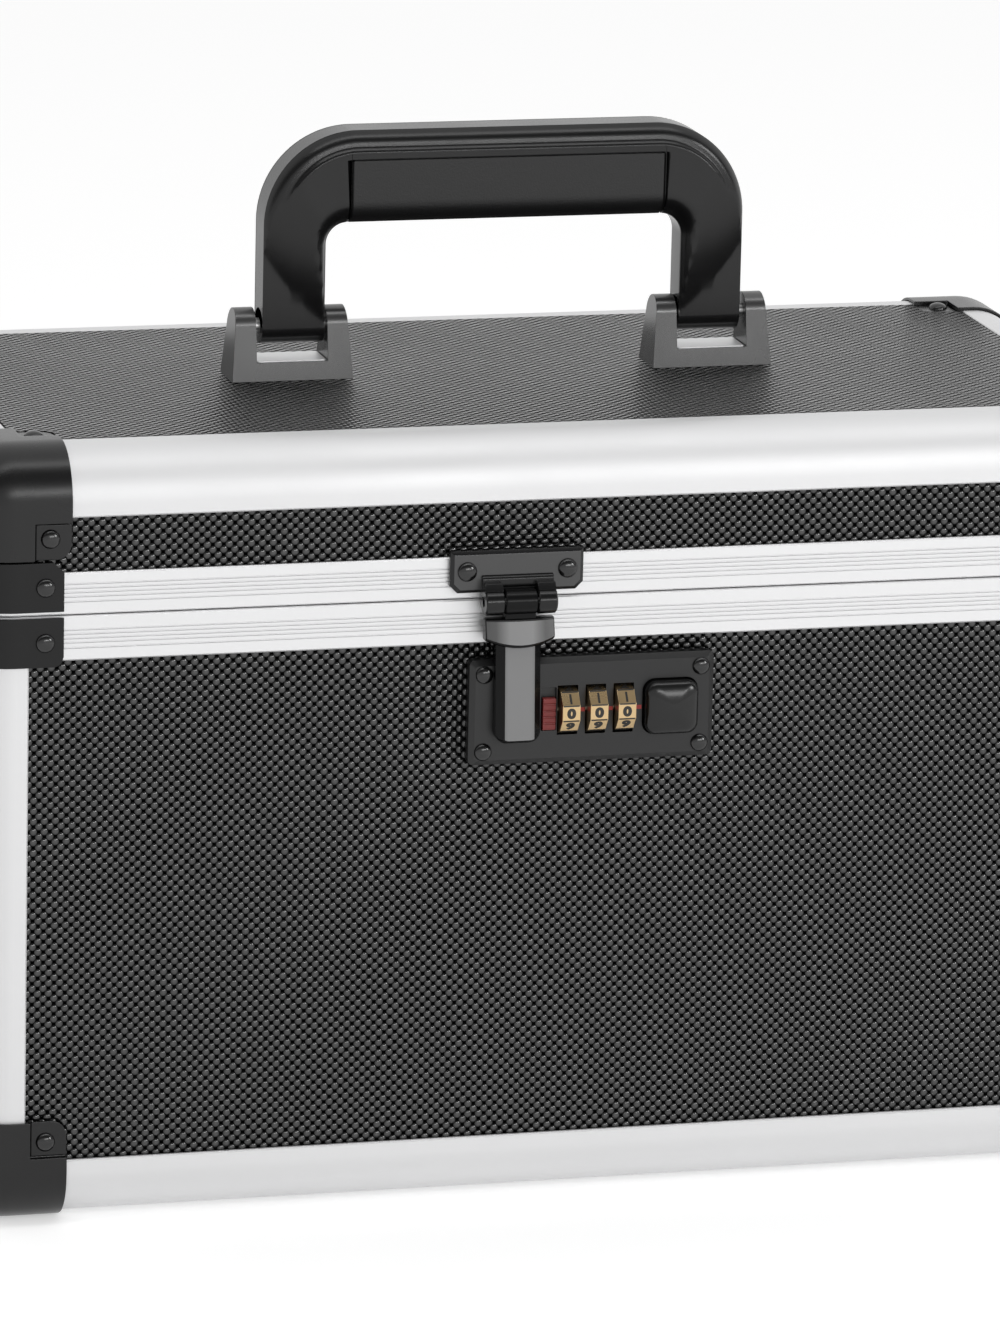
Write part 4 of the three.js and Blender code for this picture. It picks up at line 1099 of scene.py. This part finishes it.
stations = [(GRIP_HALF, GRIP_EDGE), (GRIP_HALF - GRIP_EDGE, 0), *((x, 0) for x in (40, 32, 24, 16, 8, 0))]
stations += [(-x, inset) for x, inset in reversed(stations[:-1])]
grip = solid(loft, [ring_of(grip_row(x, inset)) for x, inset in stations])
piece("grip_insert", grip, "handle", grip_finish, "grip_plastic", "handle_grip", smooth=24)

# %% [markdown]
# ## Handle feet
# Each foot is a block with a rounded top and a notch for the leg. It could be built face by face. It is
# easier to push its side view and its front view through each other and keep what lies in both.

# %% Handle feet
FOOT_DEPTH = 7.5
FOOT_HALF = 17.1
FOOT_TOP_HALF = 15.5
NOTCH_HALF = 10.0
NOTCH_FLOOR = 5.15
KNUCKLE = 5.2
AXLE_RADIUS = 2.1
AXLE_HALF = 15.0
FOOT_BEVEL = 0.18
TRIM_BEVEL = 0.08
SOLE = (19.4, 11.6, 0.6)
SOLE_SPAN = (-0.1, 0.25)


def foot(middle):
    knuckle = arc((0, FOOT_Z + PIVOT_HEIGHT), KNUCKLE, 0, 180, 20)
    side_view = [(-FOOT_DEPTH, FOOT_Z), (FOOT_DEPTH, FOOT_Z), *knuckle]
    top = PIVOT_HEIGHT + KNUCKLE + 1
    front_view = [
        (-FOOT_HALF, 0), (FOOT_HALF, 0), (FOOT_TOP_HALF, top), (NOTCH_HALF, top), (NOTCH_HALF, NOTCH_FLOOR),
        (-NOTCH_HALF, NOTCH_FLOOR), (-NOTCH_HALF, top), (-FOOT_TOP_HALF, top),
    ]
    across = solid(prism, side_view, "x", middle - FOOT_HALF - 1, middle + FOOT_HALF + 1)
    front_view = [(middle + a, FOOT_Z + b) for a, b in front_view]
    along = solid(prism, front_view, "y", -FOOT_DEPTH - 1, FOOT_DEPTH + 1)
    return soften(carved(across, along, "INTERSECT"), FOOT_BEVEL, least=30)


for side in ("left", "right"):
    middle = middle_x(f"handle_foot_{side}")
    axle = solid(lathe, [(AXLE_RADIUS, -AXLE_HALF), (AXLE_RADIUS, AXLE_HALF)], "x", (0, PIVOT.z, middle))
    cad_node = f"handle_foot_{side}"
    piece(f"foot_{side}", foot(middle), "lid", foot_finish, "handle_plastic", cad_node, smooth=24)
    piece(f"foot_axle_{side}", axle, "lid", steel_finish, "steel")
    sole_low, sole_high = (FOOT_Z + NOTCH_FLOOR + z for z in SOLE_SPAN)
    sole = soften(solid(prism, rounded_box((middle, 0), *SOLE), "z", sole_low, sole_high), TRIM_BEVEL)
    piece(f"foot_plate_{side}", sole, "lid", rim_finish, "steel")

# %% [markdown]
# ## Hasp
# The hasp hangs on the front of the lid. Its plate is cast with sloping edges and a ridge above the
# barrel; the arm has a broad head to lift it by and a blade with sloping sides that closes over the
# lock. Everything here is placed from the pin, which lies at the height of the seam.

# %% Hasp plate body
FRONT = case_low.y
SEAM_Z = (base_seam + lid_low.z) / 2
STAND = 8.5
HASP_X = middle_x("hasp_plate")
HASP_BARREL = 3.5
HASP_AXIS = FRONT - STAND + HASP_BARREL
PLATE_HALF = 18.5
PLATE_SPAN = (2.0, 13.6)
PLATE_CUT = 2.1
PLATE_SLOPE = 1.0
PLATE_FRONT = FRONT - 2.35
KNUCKLE_SPAN = (4.7, 9.9)
RUNNING_GAP = 0.3
MITRE = 0.41
FACE_ON = 0.94
PLATE_BEVEL = 0.15


def sloped_plate(outline, inner, back, edge, front):
    rings = [[point("y", a, b, back) for a, b in outline], [point("y", a, b, edge) for a, b in outline]]
    return solid(loft, [*rings, [point("y", a, b, front) for a, b in inner]])


def plate_outline(inset):
    """The plate with its two lower corners cut off, set in from the edge."""
    shift = PLATE_CUT - inset * MITRE
    side, bottom, top = PLATE_HALF - inset, PLATE_SPAN[0] + inset, PLATE_SPAN[1] - inset
    corners = [
        (shift - side, bottom), (side - shift, bottom), (side, bottom + shift), (side, top), (-side, top),
        (-side, bottom + shift),
    ]
    return [(HASP_X + a, SEAM_Z + b) for a, b in corners]


levels = (FRONT - SEAT, PLATE_FRONT + PLATE_SLOPE * 0.8, PLATE_FRONT)
plate_body = sloped_plate(plate_outline(0), plate_outline(PLATE_SLOPE), *levels)
room = [(HASP_BARREL + RUNNING_GAP, z) for z in (-KNUCKLE_SPAN[0], KNUCKLE_SPAN[0])]
plate_body = carved(plate_body, solid(lathe, room, "x", (HASP_AXIS, SEAM_Z, HASP_X)))
plate_body = soften(plate_body, PLATE_BEVEL, least=30)
bmesh.ops.recalc_face_normals(plate_body, faces=plate_body.faces)
# Faces that look forward take the lighter copy of the black, a painted sheen
for face in plate_body.faces:
    face.material_index = 2 if -face.normal.y > FACE_ON else 0
print("hasp pin at, mm:", round(HASP_X, 2), round(HASP_AXIS, 2), round(SEAM_Z, 2))

# %% Hasp ridge, knuckles and rivets
KNUCKLE_CUT = 0.35
RIDGE_BEVEL = 0.25
SMALL_BEVEL = 0.2
HASP_RIVETS = (13.9, 8.032)
HASP_RIVET_SIZE = {"radius": 2.7, "height": 1.6}


def rolled(radius, start, end, cut, centre, sides=40):
    """A rolled barrel along x whose two rims are cut off at a slant."""
    profile = [(radius - cut, start), (radius, start + cut), (radius, end - cut), (radius - cut, end)]
    return solid(lathe, profile, "x", centre, sides=sides)


ridge_view = [
    (PLATE_FRONT + 1, SEAM_Z + 3.6), (PLATE_FRONT - 0.9, SEAM_Z + 3.6), (PLATE_FRONT - 1.3, SEAM_Z + 4.2),
    *arc((PLATE_FRONT, SEAM_Z + 5.6), 1.3, 180, 100, 5), (PLATE_FRONT + 1, SEAM_Z + 7.2),
]
ridge_ends = (HASP_X - KNUCKLE_SPAN[1], HASP_X + KNUCKLE_SPAN[1])
ridge = soften(solid(prism, ridge_view, "x", *ridge_ends), RIDGE_BEVEL)
strap_view = [
    (FRONT - SEAT, SEAM_Z + 2.0), (FRONT - SEAT, SEAM_Z + 5.2), (HASP_AXIS - 0.4, SEAM_Z + 5.2),
    (HASP_AXIS - 1.8, SEAM_Z + 3.4), (HASP_AXIS, SEAM_Z + 0.6),
]
knuckles = []
for sign in (-1, 1):
    start, end = sorted(HASP_X + sign * reach for reach in KNUCKLE_SPAN)
    knuckles.append(rolled(HASP_BARREL, start, end, KNUCKLE_CUT, (HASP_AXIS, SEAM_Z, 0)))
    knuckles.append(soften(solid(prism, strap_view, "x", start + 0.1, end - 0.1), SMALL_BEVEL))
plate_rivets = [
    rivet("y", (HASP_X + reach, SEAM_Z + HASP_RIVETS[1], PLATE_FRONT), -1, **HASP_RIVET_SIZE)
    for reach in (-HASP_RIVETS[0], HASP_RIVETS[0])
]
plate = merged(plate_body, ridge, *knuckles, *plate_rivets)
plate_looks = (rivet_finish, hasp_painted_sheen_finish)
piece("hasp_plate_cast", plate, "lid", hasp_finish, "black_metal", "hasp_plate", others=plate_looks)
repaint("hasp_pin", steel_finish)

# %% [markdown]
# ## Hasp arm
# The head is bowed and leans a little, so it is lofted from sections along the pin. The blade below it
# is a lofted wedge with sloping sides. Its rounded toe is cut by pushing the front view through it,
# because a loft alone can't round an outline and slope a face in one go.

# %% Head of the hasp arm
HEAD_TOP = -4.4
HEAD_DROP = 7.9
HEAD_CURVE = 2.0
HEAD_LEAN = math.tan(math.radians(8))
HEAD_HALF = 9.6
HEAD_CROWN = 1.5
HEAD_BACK = FRONT - 3.4
HEAD_EDGE = 0.6
CAST_BEVEL = 0.3
HEAD_SHARES = (0.2, 0.35, 0.5, 0.65, 0.8, 0.9, 0.97, 1)


def head_section(share):
    front = FRONT - STAND + HEAD_CROWN * share ** 2
    low = HEAD_TOP - HEAD_DROP + HEAD_CURVE * share ** 2
    upper = front + HEAD_LEAN * HEAD_DROP
    view = [
        (HEAD_BACK, HEAD_TOP), (upper + HEAD_EDGE, HEAD_TOP), (upper + 0.15, HEAD_TOP - 0.2),
        (upper, HEAD_TOP - HEAD_EDGE), (front, low + HEAD_EDGE * 1.6), (front + 0.3, low + HEAD_EDGE * 0.7),
        (front + HEAD_EDGE * 1.6, low), (HEAD_BACK, low),
    ]
    return [point("x", y, SEAM_Z + z, HASP_X + HEAD_HALF * share) for y, z in view]


shares = [-s for s in reversed(HEAD_SHARES)] + [0, *HEAD_SHARES]
head = soften(solid(loft, [head_section(s) for s in shares]), CAST_BEVEL, least=50)
print("head faces:", len(head.faces))

# %% Blade of the hasp arm
ARM_HALF = 6.2
ARM_CREST = 4.1
ARM_FALL = 38.9
ARM_BACK = FRONT - 3.2
ARM_TILT = 2.1
TOE_RADIUS = 3.1
TOE_START = 20
TOE_SHARE = 0.9
TOE_RISE = 1.4


def blade_ring(height, front):
    waist = front + (ARM_HALF - ARM_CREST)
    half = [(ARM_CREST, front), (ARM_HALF, waist), (ARM_HALF, ARM_BACK)]
    view = [(-a, b) for a, b in reversed(half)] + half
    return [point("z", HASP_X + a, b, SEAM_Z + height) for a, b in view]


blade_front = FRONT - STAND
blade_rings = [blade_ring(HEAD_TOP - 2.0, blade_front + ARM_TILT), blade_ring(-ARM_FALL, blade_front)]
blade = solid(loft, blade_rings)
toe_x, toe_z = ARM_HALF - TOE_RADIUS, TOE_RADIUS - ARM_FALL
toe_side = ARM_HALF + 1
toe = [
    (-toe_side, HEAD_TOP - 1), (-toe_side, -TOE_START), *arc((-toe_x, toe_z), TOE_RADIUS, 180, 270, 8),
    *arc((toe_x, toe_z), TOE_RADIUS, 270, 360, 8), (toe_side, -TOE_START), (toe_side, HEAD_TOP - 1),
]
narrowed = [(a * TOE_SHARE, b + (TOE_RISE if b < -TOE_START else 0)) for a, b in toe]
toe_rings = [[(HASP_X + a, SEAM_Z + b) for a, b in ring] for ring in (toe, narrowed)]
toe_tool = sloped_plate(*toe_rings, ARM_BACK + 1, blade_front + 2.2, blade_front - 0.4)
blade = soften(carved(blade, toe_tool, "INTERSECT"), CAST_BEVEL, least=30)

# %% Whole hasp arm
FRONT_FACING = math.cos(math.radians(20))
ARM_BARREL = 4.4
NECK = rounded_box((HASP_X, SEAM_Z - 3), 8.6, 6.4, 0.4)
STAPLE = rounded_box((HASP_X, SEAM_Z - 22.9), 4, 4.6, 0.8)

neck = soften(solid(prism, NECK, "y", HASP_AXIS - 1.6, HASP_AXIS + 1.6), SMALL_BEVEL)
staple = soften(solid(prism, STAPLE, "y", ARM_BACK - 0.5, FRONT - 0.5), SMALL_BEVEL)
barrel = rolled(HASP_BARREL, -ARM_BARREL, ARM_BARREL, 0.3, (HASP_AXIS, SEAM_Z, HASP_X))
# Faces that look forward take the finish with the painted reflection
for bm in (head, blade):
    bmesh.ops.recalc_face_normals(bm, faces=bm.faces)
    for face in bm.faces:
        face.material_index = int(-face.normal.y > FRONT_FACING)
arm = merged(head, blade, neck, barrel, staple)
piece("hasp_arm_cast", arm, "hasp_arm", arm_finish, "black_metal", "hasp_arm", others=(arm_painted_reflection_finish,))

# %% [markdown]
# ## Painted reflection on the arm
# The front of the arm carries a grey colour that is a painted reflection, and it fades to black toward its
# sides as painted shade. The mesh marks the faces that look forward, and their colour fades with the
# distance from the middle of the arm.

# %% Painted reflection on the arm
# The grey is a painted reflection across the middle, and past its half width it fades to painted shade
PAINTED_REFLECTION_HALF = 3.2 * MM
PAINTED_SHADE_HALF = 6.8 * MM
PAINTED_REFLECTION_COLOR = (0.16, 0.16, 0.161, 1)

face_tree = arm_painted_reflection_finish.node_tree
object_place = node(face_tree, "ShaderNodeTexCoord").outputs["Object"]
face_x = node(face_tree, "ShaderNodeSeparateXYZ", {0: object_place}).outputs["X"]
off_middle = math_node(face_tree, "ABSOLUTE", math_node(face_tree, "SUBTRACT", face_x, HASP_X * MM))
fade_span = {"Value": off_middle, "From Min": PAINTED_REFLECTION_HALF, "From Max": PAINTED_SHADE_HALF}
fade = node(face_tree, "ShaderNodeMapRange", fade_span)
reflection_color = mix(face_tree, "RGBA", fade.outputs["Result"], PAINTED_REFLECTION_COLOR, grey(0.01))
face_tree.links.new(reflection_color, face_tree.nodes["Principled BSDF"].inputs["Base Color"])
print("painted reflection fades over, mm:", round((PAINTED_SHADE_HALF - PAINTED_REFLECTION_HALF) / MM, 2))

# %% [markdown]
# ## Combination lock
# The face plate is a casting with sloping edges. Three wheels and a button stand in it, and a small
# red slider sits beside the wheels. The plate is cut with the same bays as the CAD model, so that the
# dark gaps round the wheels and the button are real.

# %% Lock plate and housing
lock_low, lock_high = box_mm("lock_body")
LOCK_X = (lock_low.x + lock_high.x) / 2
LOCK_Z = (lock_low.z + lock_high.z) / 2
LOCK_HALF_W = 34.2
LOCK_HALF_H = 14.6
LOCK_PROUD = 2.9
LOCK_SLOPE = 1.5
LOCK_CORNER = 1.6
LOCK_FACE_CORNER = 0.9
LOCK_FRONT = FRONT - LOCK_PROUD
HOUSING = rounded_box((LOCK_X + 7.6, LOCK_Z), 47.2, 25.2, 0.5)


def lock_outline(inset, radius):
    return rounded_box((LOCK_X, LOCK_Z), 2 * (LOCK_HALF_W - inset), 2 * (LOCK_HALF_H - inset), radius)


levels = (FRONT + 1.2, LOCK_FRONT + 1.2, LOCK_FRONT)
plate = sloped_plate(lock_outline(0, LOCK_CORNER), lock_outline(LOCK_SLOPE, LOCK_FACE_CORNER), *levels)
lock = carved(plate, solid(prism, HOUSING, "y", FRONT + 0.5, FRONT + 7.9), "UNION")
print("lock body, mm:", [round(v, 1) for v in lock_high - lock_low])

# %% Bays of the lock
WHEEL_RADIUS = 6.7
WHEEL_BAY_RADIUS = WHEEL_RADIUS + 0.42
WHEEL_BAY_HALF = 2.8
BAY_START = LOCK_FRONT - 4
RIVET_INSET = 3.9
LOCK_BEVEL = 0.16
LOCK_RIVET_HEIGHT = 1.5
wheel_boxes = [box_mm(f"digit_wheel_{i}") for i in (1, 2, 3)]
wheel_centres = [(low + high) / 2 for low, high in wheel_boxes]
BUTTON_X = middle_x("release_button")
slider_low, slider_high = box_mm("code_slider")
slider_z = (slider_low.z + slider_high.z) / 2

wheel_bay = [(WHEEL_BAY_RADIUS, -WHEEL_BAY_HALF), (WHEEL_BAY_RADIUS, WHEEL_BAY_HALF)]
cutters = [solid(lathe, wheel_bay, "x", (c.y, c.z, c.x), sides=48) for c in wheel_centres]
# Outline of each bay with its depth
bays = {
    "button": (rounded_box((BUTTON_X, LOCK_Z), 15.4, 15.4, 3.3, 8), FRONT + 3.9),
    "slider": (rounded_box((middle_x("code_slider"), slider_z + 1.25), 4.2, 11.9, 0.3), LOCK_FRONT + 1.2),
    "staple": (rounded_box((HASP_X, LOCK_Z + 9.5), 5.2, 14.0, 0.3), LOCK_FRONT + 2.7),
}
cutters += [solid(prism, outline, "y", BAY_START, end) for outline, end in bays.values()]
lock = soften(carved(lock, merged(*cutters)), LOCK_BEVEL, least=50)
rivet_x, rivet_z = LOCK_HALF_W - RIVET_INSET, LOCK_HALF_H - RIVET_INSET
lock_rivets = [
    rivet("y", (LOCK_X + sx * rivet_x, LOCK_Z + sz * rivet_z, LOCK_FRONT), -1, height=LOCK_RIVET_HEIGHT)
    for sx in (-1, 1) for sz in (-1, 1)
]
piece("lock_plate_cast", merged(lock, *lock_rivets), "base", plate_finish, "black_metal", "lock_body")
repaint("lock_back_cover", bracket_finish)
for cad_node in ("wheel_axle", "catch_bolt", "button_spring"):
    repaint(cad_node, steel_finish)

# %% [markdown]
# ## Index line and slider
# A thin red line marks the row of digits to read, and a ribbed red slider sets a new code. Both are small
# prisms: the line rises a few hundredths above the plate, and the slider's side view carries the ribs.

# %% Index line
INDEX_HEIGHT = 1.1
INDEX_SPAN = (LOCK_FRONT - 0.06, LOCK_FRONT + 0.1)
WHEEL_ROOM = 2.95

edges = [slider_high.x + 0.5]
for c in wheel_centres:
    edges += [c.x - WHEEL_ROOM, c.x + WHEEL_ROOM]
edges.append(BUTTON_X - 8.0)
marks = []
for start, end in zip(edges[::2], edges[1::2]):
    if end - start > 0.3:
        mark = rounded_box(((start + end) / 2, LOCK_Z), end - start, INDEX_HEIGHT, 0.1, 2)
        marks.append(solid(prism, mark, "y", *INDEX_SPAN))
piece("index_line", merged(*marks), "base", index_finish, "red_plastic")

# %% Ribbed slider
RIBS = 5
RIB = 0.26

rib_view = [(slider_high.y, slider_low.z), (slider_low.y + RIB, slider_low.z)]
rib_pitch = (slider_high.z - slider_low.z) / RIBS
for start in (slider_low.z + i * rib_pitch for i in range(RIBS)):
    end = start + rib_pitch
    rib_view += [(slider_low.y + RIB, start + 0.15), (slider_low.y, start + 0.5)]
    rib_view += [(slider_low.y, end - 0.35), (slider_low.y + RIB, end - 0.05)]
rib_view.append((slider_high.y, slider_high.z))
slider = soften(solid(prism, rib_view, "x", slider_low.x, slider_high.x), TRIM_BEVEL, segments=1)
piece("red_slider", slider, "code_slider", red_finish, "red_plastic", "code_slider")

# %% [markdown]
# ## Release button
# The button is a pillow of glossy plastic. Rounded squares that shrink toward the front, lofted one to
# the next, give its swell with few faces and no subdivision.

# %% Release button
# Half width against the place behind (+) or before (-) the board's face, from the back to the crown
BUTTON_RINGS = (
    (7.35, 0.8), (7.35, -4.7), (7.25, -5.3), (6.95, -5.85), (6.5, -6.3), (5.9, -6.64), (5.2, -6.92),
    (4.2, -7.24), (3.0, -7.54), (1.6, -7.74), (0.4, -7.78),
)
rings = []
for half, depth in BUTTON_RINGS:
    ring = rounded_box((BUTTON_X, LOCK_Z), 2 * half, 2 * half, min(3.0, half * 0.45), 8)
    rings.append([point("y", a, b, FRONT + depth) for a, b in ring])
button = solid(loft, rings)
piece("button_cap", button, "release_button", gloss_finish, "button_plastic", "release_button", smooth=40)

# %% [markdown]
# ## Digit wheels
# Each wheel is brass with ten flats and dark digits. An image would blur up close, so Blender's own font
# gives the outlines, which are thickened and laid on the flats, with a line across each edge between them.

# %% Digits
WHEEL_DIGITS = 10
FACET_TURN = 360 / WHEEL_DIGITS
FACET_OUT = WHEEL_RADIUS * math.cos(math.radians(FACET_TURN / 2))
DIGIT_WIDTH = 2.5
DIGIT_HEIGHT = 2.95
ONE_WIDTH = 0.6
DIGIT_BOLD = 0.07


def bar(width, height):
    bm = bmesh.new()
    corners = [(width / 2 * x, height / 2 * y, 0) for x, y in ((-1, -1), (1, -1), (1, 1), (-1, 1))]
    bm.faces.new([bm.verts.new(corner) for corner in corners])
    return bm


def digit_mesh(digit):
    if digit == 1:
        return bar(ONE_WIDTH, DIGIT_HEIGHT)
    curve = bpy.data.curves.new("digit", "FONT")
    curve.body = str(digit)
    curve.offset = DIGIT_BOLD
    text = bpy.data.objects.new("digit", curve)
    scene.collection.objects.link(text)
    bm = bmesh.new()
    bm.from_mesh(text.evaluated_get(bpy.context.evaluated_depsgraph_get()).to_mesh())
    bpy.data.objects.remove(text)
    bpy.data.curves.remove(curve)
    xs, ys = [v.co.x for v in bm.verts], [v.co.y for v in bm.verts]
    middle = Vector(((min(xs) + max(xs)) / 2, (min(ys) + max(ys)) / 2, 0))
    scale = Matrix.Diagonal((DIGIT_WIDTH / (max(xs) - min(xs)), DIGIT_HEIGHT / (max(ys) - min(ys)), 1))
    for vertex in bm.verts:
        vertex.co = scale @ (vertex.co - middle)
    return bm


# %% Drawings on a wheel
def on_facet(bm, depth, centre, turn, out):
    """Thicken a flat drawing and lay it on the wheel, turned up from the front by turn degrees."""
    sheet = bmesh.ops.extrude_face_region(bm, geom=bm.faces[:])
    for vertex in (item for item in sheet["geom"] if isinstance(item, bmesh.types.BMVert)):
        vertex.co.z += depth
    a = math.radians(turn)
    normal = Vector((0, -math.cos(a), math.sin(a)))
    upward = Vector((0, math.sin(a), math.cos(a)))
    for vertex in bm.verts:
        flat = Vector((vertex.co.x, 0, 0)) + upward * vertex.co.y + normal * (out + vertex.co.z)
        vertex.co = (centre + flat) * MM
    return bm


# %% Digit wheels
INK_DEPTH = 0.05
INK_SINK = 0.02
DIVIDER = 0.4
DIVIDER_SHORT = 0.5
DIVIDER_DEPTH = 0.1
DIVIDER_SINK = 0.08

for index, centre in enumerate(wheel_centres, 1):
    low, high = wheel_boxes[index - 1]
    half = (high.x - low.x) / 2
    corners = [math.radians(FACET_TURN * (k + 0.5)) for k in range(WHEEL_DIGITS)]
    view = [(centre.y - WHEEL_RADIUS * math.cos(a), centre.z + WHEEL_RADIUS * math.sin(a)) for a in corners]
    wheel = soften(solid(prism, view, "x", centre.x - half, centre.x + half), SMALL_BEVEL, least=30)
    body = f"digit_wheel_{index}"
    piece(f"wheel_{index}", wheel, body, brass_finish, "brass", body, smooth=20)
    ink = []
    for k in range(WHEEL_DIGITS):
        ink.append(on_facet(digit_mesh(k), INK_DEPTH, centre, FACET_TURN * k, FACET_OUT - INK_SINK))
        divider = bar(2 * half - DIVIDER_SHORT, DIVIDER)
        turn = FACET_TURN * (k + 0.5)
        ink.append(on_facet(divider, DIVIDER_DEPTH, centre, turn, WHEEL_RADIUS - DIVIDER_SINK))
    piece(f"digits_{index}", merged(*ink), body, ink_finish, "black_metal")

# %% [markdown]
# ## Rear hinges
# Two leaf hinges with rolled knuckles join the lid to the base. They aren't in the photograph, so they
# follow the usual pattern: three rivets a leaf, and the lower leaf carries the pin.

# %% Hinge leaf
BACK = case_high.y
HINGE_HALF = 22.0
HINGE_BARREL = 3.0
HINGE_AXIS = BACK + STAND - HINGE_BARREL
LEAF_SPAN = (1.8, 14.0)
LEAF_FACE = BACK + 1.75
RIVET_ROW = 9.608
RIVET_REACH = HINGE_HALF * 0.72


def hinge_leaf(middle, side, spans):
    low, high = sorted(SEAM_Z + side * z for z in LEAF_SPAN)
    outline = rounded_box((middle, (low + high) / 2), 2 * HINGE_HALF, high - low, 1.2)
    solids = [soften(solid(prism, outline, "y", BACK + SEAT, LEAF_FACE), CAST_BEVEL)]
    strap = (BACK + SEAT, 0.6), (HINGE_AXIS, 0.6), (HINGE_AXIS, 2.95), (LEAF_FACE, 4.2), (BACK + SEAT, 4.2)
    view = [(y, SEAM_Z + side * z) for y, z in strap]
    for start, end in spans:
        solids.append(rolled(HINGE_BARREL, start, end, 0.3, (HINGE_AXIS, SEAM_Z, middle), 36))
        web = solid(prism, view, "x", middle + start + 0.05, middle + end - 0.05)
        solids.append(soften(web, SMALL_BEVEL))
    for x in (middle - RIVET_REACH, middle, middle + RIVET_REACH):
        solids.append(rivet("y", (x, SEAM_Z + side * RIVET_ROW, LEAF_FACE), 1))
    return merged(*solids)


# %% Hinges and their pins
UPPER_KNUCKLE = 7.0
LOWER_KNUCKLES = 7.3
PIN_RADIUS = 1.15
PIN_HEAD = ((1.75, 21.9), (1.75, 22.3), (1.2, 22.5))

for side in ("left", "right"):
    middle = middle_x(f"hinge_upper_leaf_{side}")
    axis_place = (HINGE_AXIS, SEAM_Z, middle)
    parts = [hinge_leaf(middle, -1, [(-HINGE_HALF, -LOWER_KNUCKLES), (LOWER_KNUCKLES, HINGE_HALF)])]
    parts.append(solid(lathe, [(PIN_RADIUS, -HINGE_HALF), (PIN_RADIUS, HINGE_HALF)], "x", axis_place))
    for sign in (-1, 1):
        parts.append(solid(lathe, [(radius, x * sign) for radius, x in PIN_HEAD], "x", axis_place))
    upper = hinge_leaf(middle, 1, [(-UPPER_KNUCKLE, UPPER_KNUCKLE)])
    for half, body, leaf in (("lower", "base", merged(*parts)), ("upper", "lid", upper)):
        cad_node = f"hinge_{half}_leaf_{side}"
        piece(f"hinge_{half}_{side}", leaf, body, bracket_finish, "black_metal", cad_node)

# %% Measure how much the pieces grow the case
low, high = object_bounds()
print("visual grows by, mm:", [round((a - b) / MM, 2) for a, b in zip(high - low, cad_high - cad_low)])
